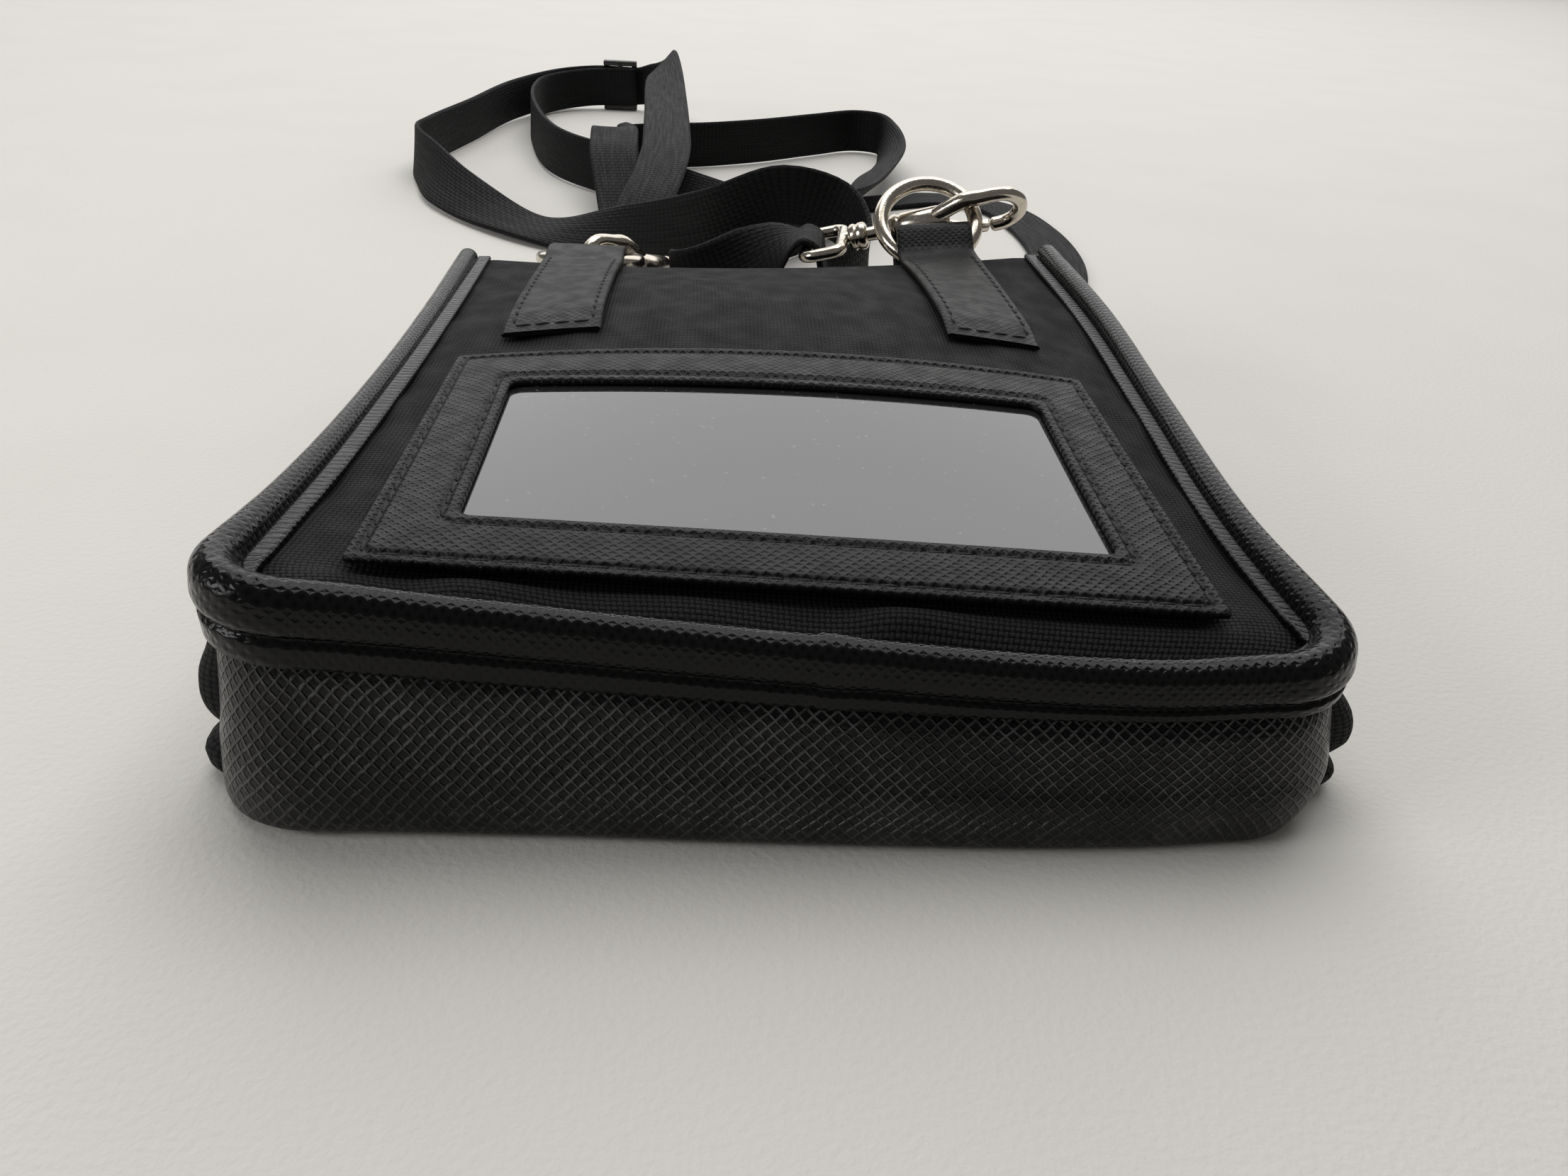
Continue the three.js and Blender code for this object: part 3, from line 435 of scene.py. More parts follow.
# the strap, from the slider round to the left hook: its middle line (x, y, z) and the way its width lies,
# where that changes
strap = {
    "width": 15.0,
    "thickness": 1.4,
    "step": 2.6,
    "route": (
        (-41, 384.7, 10, 0, 0, 1), (-60, 384, 9.2), (-76, 369, 8.2), (-79, 345, 8), (-74, 300, 8, 0.1, 0, 1),
        (-60, 250, 7.9, 0.2, 0.1, 1), (-40, 224, 7.8, 0.1, 0.3, 1), (-12, 206, 5.4, 0, 0.9, 0.7),
        (16, 208, 2, 0, 1, 0.12), (42, 224, 1, -0.4, 1, 0), (65, 234, 1, 0.1, 1, 0), (83, 226, 1, 1, 0.9, 0),
        (90, 198, 1, 1, 0.1, 0), (87, 152, 1, 1, -0.1, 0), (72, 116, 1, 0.7, -0.8, 0),
        (50, 100, 1, 0.2, -1, 0), (26, 97, 1.1, 0, -1, 0), (12, 99, 2.2, 0, -1, -0.12),
        (1, 101, 6.3, 0, -0.75, -0.66), (-8, 101.4, 8.4, 0, -0.1, -1), (-15.5, 100.2, 9, 0, 0, -1),
        (-18, 97.6, 9.8), (-15.5, 95, 10.6), (-8, 94.2, 13.2), (-1, 93.6, 16.6, 0, -0.3, -0.95),
        (4.8, 92.4, 20.2, -0.1, -0.8, -0.6), (9.2, 91.6, 22.6, -0.13, -1, 0), (11.5, 91.5, 23.5),
        (14, 91.4, 22.2), (14.8, 91.5, 19), (16.6, 93.5, 12.8, -0.1, -1, -0.35), (23, 103, 11, 0, -0.4, -0.9),
        (28, 116, 13.5, 0, 0, -1), (23, 128, 19.5), (9, 131.5, 23, 0, 0.2, -1), (-10, 136, 15, 0, 0, -1),
        (-30, 149, 8.2, 0, -0.6, -0.8), (-60, 171, 2.8, -0.3, -1, -0.12), (-86, 200, 5.8, -0.8, -0.7, -0.8),
        (-98, 224, 7.8, -0.5, 0, -1), (-105.5, 246, 8, -0.1, 0, -1), (-104, 262, 8, 0, 0, -1), (-97, 300, 8),
        (-88, 350, 8.2), (-72, 382.5, 9), (-58, 387.6, 10), (-48, 388, 10), (-39, 387.9, 10),
        (-33, 385, 12.5, -0.2, 0.1, -1), (-30, 376, 18.5, -0.5, 0.1, -0.85), (-29, 362, 22.5, -0.7, 0, -0.7),
        (-27.5, 330, 22.4, -0.93, 0, -0.35), (-26, 298, 21, -1, 0, -0.1), (-24.5, 264, 20, -1, 0, 0),
        (-23.5, 235, 19), (-23, 212, 17.5), (-24.5, 190, 14.5, -1, -0.05, 0), (-27, 174, 11, -1, -0.1, 0),
        (-28.6, 166, 7.6, -1, -0.15, 0), (-29.6, 164.2, 4.8, -1, -0.2, 0), (-30.6, 167.5, 2.4, -1, -0.22, 0),
        (-33.5, 182, 3.2, -1, -0.2, 0), (-36.5, 200, 10, -1, -0.15, 0), (-38.8, 214, 15.4, -1, -0.1, 0),
        (-39.6, 226, 17.4), (-40.2, 238, 18, -1, 0, 0), (-41.6, 249.5, 12.6, -0.6, 0, -0.8),
        (-41, 258, 8.4, 0, 0, -1), (-35, 265, 7.8), (-25, 269.5, 7.8), (-12, 274, 7.8), (8, 285, 8),
        (30, 303, 8), (46, 315, 8), (54.5, 312, 8), (56, 292, 8, -0.4, 0.1, -1),
        (53, 264, 8, -0.75, 0.2, -0.7), (44, 232, 8.4, -0.9, 0.3, -0.5), (34, 198, 7.6, -0.7, 0.3, -0.75),
        (20, 167, 7.8, -0.2, 0.1, -1), (9.5, 152, 7.8, -0.1, 0.1, -1), (3, 140, 6.9, -0.5, 0.4, -0.75),
        (-1.6, 128, 6.6, -0.79, 0.6, 0), (-7.7, 120.4, 8.1), (-9.4, 118.4, 5.5), (-7.7, 120.4, 2.8),
        (-2.5, 127, 1.6),
    ),
    "exit": (-7.7, 120.4, 5.5),
}


def throughPoints(points, k, share, even=False):  # place and heading on a smooth line, k spans along it
    p1, p2 = points[k], points[k + 1]
    p0 = points[k - 1] if k else 2 * p1 - p2
    p3 = points[k + 2] if k + 2 < len(points) else 2 * p2 - p1
    if even:
        in1, in2 = 0.5 * (p2 - p0), 0.5 * (p3 - p1)
    else:
        d0, d1, d2 = (max((b - a).length, 1e-6) ** 0.5 for a, b in ((p0, p1), (p1, p2), (p2, p3)))
        in1 = d1 * ((p1 - p0) / d0 - (p2 - p0) / (d0 + d1) + (p2 - p1) / d1)
        in2 = d1 * ((p2 - p1) / d1 - (p3 - p1) / (d1 + d2) + (p3 - p2) / d2)
    c2 = 3 * (p2 - p1) - 2 * in1 - in2
    c3 = 2 * (p1 - p2) + in1 + in2
    return p1 + share * (in1 + share * (c2 + share * c3)), in1 + share * (2 * c2 + 3 * share * c3)


def strapStations(piece):
    places, widths, stations = [], [], []
    for spot in piece["route"]:
        places.append(Vector(spot[:3]))
        widths.append(Vector(spot[3:]) if spot[3:] else widths[-1])
    for k in range(len(places) - 1):
        steps = max(3, ceil((places[k + 1] - places[k]).length / piece["step"]))
        for j in range(steps + 1 if k == len(places) - 2 else steps):
            at, heading = throughPoints(places, k, j / steps)
            heading.normalize()
            across = throughPoints(widths, k, j / steps, even=True)[0]
            across = (across - across.dot(heading) * heading).normalized()
            stations.append((at, across, across.cross(heading).normalized()))
    return stations


def makeStrap(piece):
    thin = piece["thickness"] / 2
    flat = piece["width"] / 2 - thin
    section = [(x, thin) for x in spread(-flat, flat, 10)]
    section += [(flat + thin * sin(a), thin * cos(a)) for a in spread(0, pi, 4)[1:-1]]
    section += [(-x, -z) for x, z in section] + section[:1]
    stations = strapStations(piece)
    rows = [[at + x * across + z * through for x, z in section] for at, across, through in stations]
    band = finishPiece("strapWebbing", skin(rows), webbing, "strap")
    path = [tuple(at * mm) for at, _, _ in reversed(stations)]
    return band, path, runOf([at for at, _, _ in stations])[-1]


strapBand, strapPath, strapLength = makeStrap(strap)

# the slider: two rails and three bars on the strap
slider = {"place": (-48, 388, 10), "length": 14.0, "rail": 1.9, "bar": 2.2, "barThickness": 1.0, "edge": 0.35,
          "gap": 0.3, "setIn": 0.6}


def makeSlider(piece):
    gap, inner = strap["thickness"] / 2 + piece["gap"], strap["width"] / 2 + piece["gap"]
    railAt, barAt = inner + piece["rail"] / 2, gap + piece["barThickness"] / 2
    end = piece["length"] / 2 - piece["bar"] / 2
    rail = (piece["length"], 2 * (gap + piece["barThickness"]), piece["rail"])
    bar = (piece["bar"], piece["barThickness"], 2 * (inner + piece["rail"]) - piece["setIn"])
    rails = [(rail, (0, 0, railAt)), (rail, (0, 0, -railAt))]
    bars = [(bar, (-end, barAt, 0)), (bar, (end, barAt, 0)), (bar, (0, -barAt, 0))]
    bm = bmesh.new()
    for size, offset in rails + bars:
        joinInto(bm, roundEdges(boxAt(size, Vector(piece["place"]) + Vector(offset)), piece["edge"]))
    return finishPiece("strapSlider", bm, gunmetal, "strap_slider", sharp=50)


sliderFrame = makeSlider(slider)
print("strap laid, length", round(strapLength), "mm")

# the pouch's own shape: piping line, twist and the crown of the upper panel
pouch = {
    "rimX": 59.3, "nearY": -71.8, "mouthY": 72.0, "corner": 9.0, "gap": 0.3,
    "nearLeft": 29.0, "nearRight": 22.2, "farLeft": 22.0, "farRight": 27.0,
    "panelDrop": 1.5, "crownHalf": 52.5, "nylon": 1.2,
    "crown": ((-72, 0), (-62, 0.1), (-40, 0.8), (0, 3.4), (24, 4.6), (48, 2.4), (72, -1.9)),
    "stand": ((0, -1.0), (40, -1.8), (80, -2.0), (115, -1.2), (134, 0.3), (142, 1.0), (150, 0.3), (165, 0.2),
              (199, 1.0), (237, 1.2), (248, 0.6), (256.6, 0.3), (264, -0.6), (285, -2.0), (320, -0.6),
              (360, 1.0), (398.5, 0.0)),
    "sag": ((0, 1.0), (40, 1.6), (80, 1.6), (115, 1.3), (134, 1.1), (142, 0.9), (150, 1.2), (165, 1.9),
            (199, 2.9), (237, 3.2), (248, 2.3), (256.6, 1.5), (264, 1.0), (285, 0.8), (320, 0.6), (360, 0.3),
            (398.5, 0.6)),
}
sideRun = pouch["mouthY"] - pouch["nearY"] - pouch["corner"]
cornerRun = pouch["corner"] * pi / 2
rimLength = 2 * (sideRun + cornerRun + pouch["rimX"] - pouch["corner"])


def rimAt(s):  # point on the piping's middle line and the way out of the pouch there
    sign = -1 if s > rimLength / 2 else 1
    run = rimLength - s if sign < 0 else s
    turn = min(max((run - sideRun) / cornerRun, 0), 1) * pi / 2
    out = Vector((-cos(turn), -sin(turn), 0))
    x = -pouch["rimX"] + pouch["corner"] * (1 + out.x) + max(0, run - sideRun - cornerRun)
    y = pouch["nearY"] + pouch["corner"] * (1 + out.y) + max(0, sideRun - run)
    return Vector((sign * x, y, 0)), Vector((sign * out.x, out.y, 0))


def seamHeight(x, y):
    across = x / (2 * pouch["rimX"]) + 0.5
    along = (y - pouch["nearY"]) / (pouch["mouthY"] - pouch["nearY"])
    near = mix(pouch["nearLeft"], pouch["nearRight"], across)
    return mix(near, mix(pouch["farLeft"], pouch["farRight"], across), along)


def rimCentre(s):  # the soft rim stands out and sags a little along its way
    at, out = rimAt(s)
    at = at + out * smoothAt(pouch["stand"], s)
    at.z = seamHeight(at.x, at.y) - smoothAt(pouch["sag"], s)
    return at, out


def panelTop(x, y):
    middle = 1 - min(1, (x / pouch["crownHalf"]) ** 2)
    return seamHeight(x, y) - pouch["panelDrop"] + smoothAt(pouch["crown"], y) * middle


def rimStations(start, end, step=2.0):
    marks = [0, sideRun, sideRun + cornerRun, rimLength - sideRun - cornerRun, rimLength - sideRun, rimLength]
    places = set()
    for low, high in zip(marks, marks[1:]):
        size = step if high - low > 1.5 * cornerRun else 0.6  # finer round the corners
        fine = spread(low, high, ceil((high - low) / size))
        places.update(round(s, 4) for s in fine if start + 0.2 < s < end - 0.2)
    return [start] + sorted(places) + [end]


def onPanel(x, y, height):
    return Vector((x, y, panelTop(x, y) + height))


def slabRow(row, thickness):  # ring through a row of points and the same row one thickness below
    return row + [at - Vector((0, 0, thickness)) for at in reversed(row)] + row[:1]


# upper panel: nylon that falls to the near piping, with a puckered crest before the window frame
upperPanel = {
    "tuck": 0.8, "nearY": -70.8, "nearTo": -60.0, "columns": 170, "nearRows": 22, "rows": 100,
    "fall": (-70.0, -62.5), "slack": 0.9, "slackHalf": 50,
    "crest": ((-56, 0), (-47, 0.7), (-41, 0.4), (-35, 1.3), (-24, 0.3), (-12, 0.8), (4, 0.3), (10, 1.5),
              (20, 0.9), (32, 0.6), (44, 0.6), (52, 0.4), (58, 0)),
    "crestY": -66.4, "crestHalf": 3.2, "under": 0.7, "underY": -63.4, "underHalf": 2.0, "underEnd": (44, 50),
    "ripple": 0.55, "rippleFloor": 0.3, "rippleTop": 0.12, "loose": (-62, -50), "taut": (60, 71),
}


def nylonTop(x, y):
    piece = upperPanel
    held = min(max(x, -piece["slackHalf"]), piece["slackHalf"])
    s = sideRun + cornerRun + held + pouch["rimX"] - pouch["corner"]
    top = panelTop(x, y) - piece["slack"] * smoothAt(pouch["sag"], s) * (1 - smoothStep(y, *piece["fall"]))
    top += smoothAt(piece["crest"], x) * hump(y, piece["crestY"], piece["crestHalf"])
    ends = 1 - smoothStep(abs(x), *piece["underEnd"])
    top -= piece["under"] * hump(y, piece["underY"], piece["underHalf"]) * ends
    wave = noise.noise(Vector((x / 9, y / 15, 3.1))) + 0.5 * noise.noise(Vector((x / 4 + y / 9, y / 8, 7.7)))
    loose = smoothStep(y, *piece["loose"]) * (1 - smoothStep(y, *piece["taut"]))
    return top + loose * min(piece["rippleTop"], piece["ripple"] * (wave - piece["rippleFloor"]))


def makeUpperPanel(piece):
    rows = []
    ys = spread(piece["nearY"], piece["nearTo"], piece["nearRows"])
    ys += spread(piece["nearTo"], pouch["mouthY"], piece["rows"])[1:]
    radius = pouch["corner"] - piece["tuck"]
    for y in ys:
        into = max(0, pouch["nearY"] + pouch["corner"] - y)
        run = min(pouch["mouthY"] - y, sideRun)
        inset = piece["tuck"] if not into else pouch["corner"] - sqrt(max(radius ** 2 - into ** 2, 0))
        left = -pouch["rimX"] - smoothAt(pouch["stand"], run) + inset
        right = pouch["rimX"] + smoothAt(pouch["stand"], rimLength - run) - inset
        top = [Vector((x, y, nylonTop(x, y))) for x in spread(left, right, piece["columns"])]
        rows.append(slabRow(top, pouch["nylon"]))
    panel = finishPiece("upperPanel", skin(rows), nylon, "back_panel", sharp=50)


makeUpperPanel(upperPanel)

# lower panel: nylon, flat on the table
lowerPanel = {"half": 52.0, "nearY": -64.5, "columns": 60, "step": 2.4}


def makeLowerPanel(piece):
    rows = []
    count = ceil((pouch["mouthY"] - piece["nearY"]) / piece["step"])
    for y in spread(piece["nearY"], pouch["mouthY"], count):
        under = [Vector((x, y, 0)) for x in spread(-piece["half"], piece["half"], piece["columns"])]
        rows.append(slabRow(under, -pouch["nylon"]))
    panel = finishPiece("lowerPanel", skin(rows), nylon, "front_panel", sharp=50)


makeLowerPanel(lowerPanel)

# leather base and nylon sides: a section of (out, up) from the seam to the floor, swept round the rim
gussets = {
    "topDrop": 2.0, "baseThickness": 1.5, "sideThickness": 1.0, "leftSplit": 0.2, "rightSplit": 0.3,
    "base": ((-1.0, 1.0), (-0.6, 0.9), (0.8, 0.82), (1.8, 0.74), (2.4, 0.62), (3.2, 0.45), (4.1, 0.27),
             (4.2, 0.12), (2.6, 0.025), (-0.5, 0), (-7.0, 0)),
    "side": ((-1.0, 1.0), (-0.6, 0.88), (0.9, 0.78), (1.3, 0.66), (1.9, 0.51), (2.0, 0.41), (1.6, 0.31),
             (0.8, 0.26), (0.7, 0.23), (1.5, 0.19), (2.1, 0.12), (1.9, 0.05), (0.6, 0.01), (-3.0, 0),
             (-7.0, 0)),
    "swell": ((0, 0.65), (0.1, 0.8), (0.3, 0.9), (0.7, 1.05), (1, 0.9)),
    "leftSwell": ((0, 0.8), (0.6, 1.0), (0.84, 1.7), (0.94, 2.6), (0.975, 2.75), (0.99, 2.3), (1, 1.0)),
    "rightSwell": ((0, 1.2), (0.01, 2.7), (0.025, 3.3), (0.06, 3.1), (0.16, 1.8), (0.4, 1.0), (1, 0.8)),
    "over": 24.0, "footTop": 0.5, "baseFoot": (-0.9, -4.2), "sideFoot": (-1.2, -1.6),
}
leftSplit = sideRun + gussets["leftSplit"] * cornerRun
rightSplit = rimLength - sideRun - gussets["rightSplit"] * cornerRun


def finerSection(profile, steps):  # more points on the same line, kept on or above the floor
    points = [Vector((out, up, 0)) for out, up in profile]
    fine = []
    for k in range(len(points) - 1):
        fine += [throughPoints(points, k, j / steps)[0] for j in range(steps)]
    return [(at.x, max(at.y, 0)) for at in fine + points[-1:]]


def footShift(s, up, foot):  # the lower corners are drawn in, the base more than the sides
    low = max(0, 1 - up / gussets["footTop"]) ** 2
    left, right = (max(0, 1 - abs(s - split) / gussets["over"]) ** 1.5 for split in (leftSplit, rightSplit))
    return low * (foot[0] * left + foot[1] * right)


def makeWall(name, kind, start, end, swellTable, material, node):
    section = finerSection(gussets[kind], 5)
    thickness, foot = gussets[kind + "Thickness"], gussets[kind + "Foot"]
    rows, girths = [], []
    for s in rimStations(start, end):
        at, out = rimCentre(s)
        top = at.z - gussets["topDrop"]
        swell = smoothAt(swellTable, (s - start) / (end - start))
        flat = [Vector((reach * swell if reach > 0 else reach, 0, up * top)) for reach, up in section]
        inner = []
        for k, point in enumerate(flat):
            along = (flat[min(k + 1, len(flat) - 1)] - flat[max(k - 1, 0)]).normalized()
            inner.append(point + thickness * Vector((along.z, 0, -along.x)))
        ring = flat + inner[::-1] + flat[:1]
        row = []
        for point in ring:
            spot = at + out * point.x
            row.append(Vector((spot.x + footShift(s, point.z / top, foot), spot.y, max(point.z, 0))))
        rows.append(row)
        girths.append(runOf(flat)[-1])
    wall = finishPiece(name, skin(rows), material, node, sharp=60)
    return wall, (round(sum(girths) / len(girths) * mm, 4), round((end - start) * mm, 4))


makeWall("baseGusset", "base", leftSplit, rightSplit, gussets["swell"], baseLeather, "base_gusset")
sides = (("left", 0, leftSplit - pouch["gap"]), ("right", rightSplit + pouch["gap"], rimLength))
for side, start, end in sides:
    wall, flat = makeWall("sideGusset" + side.capitalize(), "side", start, end, gussets[side + "Swell"],
                          nylon, "side_gusset_" + side)
    print(side, "side gusset cut", flat)

# sewing: rows of thread laid in their grooves
stitch = {"pitch": 3.1, "length": 2.5, "wide": 0.62, "high": 0.5, "slant": 0.1}


def sewRow(bm, line, sink=0.0):  # line holds (place, up)
    runs = runOf([at for at, _ in line])
    count = int(runs[-1] // stitch["pitch"])
    begin = (runs[-1] - count * stitch["pitch"]) / 2
    k = 0
    for n in range(count):
        middle = begin + (n + 0.5) * stitch["pitch"]
        while runs[k + 1] < middle:
            k += 1
        share = (middle - runs[k]) / (runs[k + 1] - runs[k])
        up = line[k][1].lerp(line[k + 1][1], share).normalized()
        along = (line[k + 1][0] - line[k][0]).normalized()
        side = up.cross(along).normalized()
        along = (along + stitch["slant"] * side).normalized()
        side = up.cross(along).normalized()
        up = along.cross(side)
        size = (along * stitch["length"] / 2, side * stitch["wide"] / 2, up * stitch["high"] / 2)
        place = Matrix(size).transposed().to_4x4()
        place.translation = (line[k][0].lerp(line[k + 1][0], share) - sink * up) * mm
        bmesh.ops.create_uvsphere(bm, u_segments=8, v_segments=6, radius=mm, matrix=place)


# edge piping: a leather-covered roll, a flange over the nylon at the sides and a sewn lip over the base
piping = {
    "roll": ((0, 1.9), (120, 1.9), (142, 2.4), (165, 2.2), (237, 2.2), (256, 2.4), (285, 1.9), (398.5, 1.9)),
    "lip": ((0, 2.0), (134, 2.2), (150, 2.6), (199, 1.8), (237, 0.9), (260, 1.0), (398.5, 2.0)),
    "groove": ((0, 3.4), (134, 3.2), (199, 3.0), (256, 2.6), (285, 3.0), (398.5, 3.4)),
    "face": ((0.12, 0.22, 0), (0.2, 0.45, 0), (0.08, 0.68, 0), (-0.2, 0.88, 1), (-0.75, 1.0, 1),
             (-0.4, 1.1, 1)),
    "flange": 2.5, "overlap": 0.28, "joint": 200.5, "hug": 0.95, "lipFrom": 1.18, "dent": 0.16,
}


def flangeReach(s, roll):  # the flange runs straight along the sides, under the near roll
    run = min(s, rimLength - s)
    turn = min(max((run - sideRun) / cornerRun, 0), 0.9) * pi / 2
    hug = piping["hug"] * roll
    return max(hug, pouch["corner"] - (pouch["corner"] - hug - piping["flange"]) / cos(turn))


def sewnPull(s):  # uneven gathers along the sewn groove
    return 0.5 + 0.3 * sin(2 * pi * s / stitch["pitch"]) + 0.35 * noise.noise(Vector((s / 2.3, 1.7, 0)))


def pipingRing(piece, s):
    centre, out = rimCentre(s)
    joint = piece["joint"]
    lap = smoothStep(s, joint - 0.35, joint) * (1 - smoothStep(s, joint + 1.2, joint + 5))
    roll = smoothAt(piece["roll"], s) + piece["overlap"] * lap
    lip = smoothAt(piece["lip"], s)
    reach = flangeReach(s, roll)
    side = smoothStep(reach, piece["hug"] * roll, piece["hug"] * roll + 0.8)
    pull = sewnPull(s)
    groove = smoothAt(piece["groove"], s)
    low, dent = -piece["lipFrom"] * groove, piece["dent"] * pull

    def spot(reach, up):
        return Vector((centre.x + out.x * reach, centre.y + out.y * reach, centre.z + up))

    def onNylon(reach, lift):
        at = spot(reach, 0)
        at.z = mix(centre.z + 0.3 * roll + lift - 0.6, panelTop(at.x, at.y) + lift, side)
        return at

    tip = -reach
    ring = [onNylon(reach, -0.1) for reach in spread(-0.75 * roll, tip, 5)]
    ring += [onNylon(tip - 0.2, 0.3)]
    ring += [onNylon(reach, 0.8) for reach in spread(tip, -1.12 * roll, 5)]
    sewn = onNylon(-1.0 * roll, 0.35 - 0.2 * pull * side)
    ring.append(sewn)
    first = pi - asin(min(max((sewn.z - centre.z) / roll, -0.5), 0.8))
    ring += [spot(roll * cos(a), roll * sin(a)) for a in spread(first, 0, 24)[1:]]
    ring += [spot(roll + reach - dent * dented, -groove * down) for reach, down, dented in piece["face"]]
    ring += [spot(roll - 0.12 - 0.1 * share, low - lip * share) for share in spread(0, 1, 4)]
    ring += [spot(roll - 0.7, low - lip - 0.25), spot(roll - 1.3, low - lip)]
    ring += [spot(-0.3, -1.1 * groove), spot(-0.7, -0.7 * groove), spot(-0.8 * roll, -0.5 * roll)]
    return ring + ring[:1], sewn, spot(roll - 0.72 - dent, -groove), out


def makePiping(piece):
    rows, inner, outer = [], [], []
    for s in rimStations(0, rimLength, 0.8):
        ring, sewn, grooved, out = pipingRing(piece, s)
        rows.append(ring)
        if 2 < s < rimLength - 2:
            outer.append((grooved, out))
        if 2 < min(s, rimLength - s) < sideRun + 3:
            inner.append((sewn, upright))
    finishPiece("edgePiping", skin(rows), pipingLeather, "edge_piping")
    bm = bmesh.new()
    sewRow(bm, outer, 0.1)
    leftEnd = next(k for k, (at, _) in enumerate(inner) if at.x > 0)
    sewRow(bm, inner[:leftEnd])
    sewRow(bm, inner[leftEnd:])
    finishPiece("pipingThread", bm, thread)


makePiping(piping)

# card window: a leather frame sewn round a clear film
window = {
    "frameHalf": 47.5, "frameNear": -64.5, "frameFar": 1.2, "half": 37.7, "near": -53.5, "far": -12.0,
    "inner": 2.1, "outer": 1.7, "rebate": 0.45, "lap": 3.6, "film": 0.7, "perSide": 48, "perCorner": 6,
    "innerCorner": 1.7, "outerCorner": 0.8, "sewnRows": (0.18, 0.85), "sewnDip": 0.42, "sewnHalf": 0.075,
}


def rectangleLoop(half, near, far, radius):
    arcs = roundCorners(radius - half, half - radius, near + radius, far - radius, radius,
                        window["perCorner"])
    points = []
    for arc, following in zip(arcs, arcs[1:] + arcs[:1]):
        points += arc + straight(arc[-1], following[0], window["perSide"])[1:-1]
    return points


def frameHeight(share):  # top of the frame over the panel, from the window's edge (0) to the outside (1)
    top = mix(window["inner"], window["outer"], smoothStep(share, 0.3, 1))
    return top - sum(window["sewnDip"] * hump(share, row, window["sewnHalf"]) for row in window["sewnRows"])


def frameRow(piece, share):  # the four straight rows of thread at one share of the frame's width
    half = mix(piece["half"], piece["frameHalf"], share)
    near, far = mix(piece["near"], piece["frameNear"], share), mix(piece["far"], piece["frameFar"], share)
    corners = [(-half, near), (half, near), (half, far), (-half, far)]
    height = frameHeight(share) + 0.1
    rows = []
    for start, end in zip(corners, corners[1:] + corners[:1]):
        rows.append([(onPanel(x, y, height), upright) for x, y in straight(start, end, 40)])
    return rows


def makeWindow(piece):
    inner = rectangleLoop(piece["half"], piece["near"], piece["far"], piece["innerCorner"])
    outer = rectangleLoop(piece["frameHalf"], piece["frameNear"], piece["frameFar"], piece["outerCorner"])
    gap = pouch["gap"]
    rebateTop = 2 * gap + piece["film"]
    edge, rim = frameHeight(1), frameHeight(0)
    section = [(0, rebateTop), (0, rim - 0.45), (0.015, rim - 0.14), (0.04, rim - 0.02)]
    section += [(share, frameHeight(share)) for share in spread(0.07, 0.95, 44)]
    section += [(0.975, edge - 0.05), (0.993, edge - 0.18), (1, edge - 0.35), (1, edge - 0.7)]
    section += [(0.95, edge - 0.8)]
    section += [(0.75, gap), (piece["rebate"], gap), (piece["rebate"], rebateTop), (0, rebateTop)]
    rows = []
    for (x, y), (farX, farY) in zip(inner, outer):
        rows.append([onPanel(mix(x, farX, share), mix(y, farY, share), height) for share, height in section])
    finishPiece("windowFrame", skin(rows + rows[:1]), frameLeather, "window_frame", sharp=70)
    bm = bmesh.new()
    for share in piece["sewnRows"]:
        for line in frameRow(piece, share):
            sewRow(bm, line, 0.12)
    finishPiece("frameThread", bm, thread)

    halfX = piece["half"] + piece["lap"]
    rows = []
    for y in spread(piece["near"] - piece["lap"], piece["far"] + piece["lap"], 24):
        top = [onPanel(x, y, gap + piece["film"]) for x in spread(-halfX, halfX, 40)]
        rows.append(slabRow(top, piece["film"]))
    finishPiece("windowFilm", skin(rows), film, "window_pane", sharp=50)


makeWindow(window)

# leather tabs folded over the mouth, each round a ring
tabs = {
    "width": 15.6, "thickness": 1.6, "innerEndY": 52.0, "wire": 1.6, "clear": 0.35, "loop": 5.3, "wall": 1.4,
    "seam": 1.5, "thinEnd": 0.5, "skived": 9.0,
    "left": {"x": -35.0, "endY": 12.0, "pitch": -12.0}, "right": {"x": 36.8, "endY": 14.5, "pitch": 38.0},
}


def mouthSlope(x):
    half = tabs["width"] / 2
    return (panelTop(x + half, pouch["mouthY"]) - panelTop(x - half, pouch["mouthY"])) / tabs["width"]


def ringSeat(x):
    room = tabs["wire"] + tabs["clear"]
    height = panelTop(x, pouch["mouthY"]) - pouch["nylon"] / 2
    return Vector((x, pouch["mouthY"] + pouch["gap"] + room + tabs["wall"], height))


def tabShare(side, entry):  # share of the full thickness, less towards the free end
    if entry[0] == "loop" or entry[2] < 0:
        return 1.0
    end = tabs[side]["endY"]
    return mix(tabs["thinEnd"], 1, smoothStep(entry[1], end, end + tabs["skived"]))


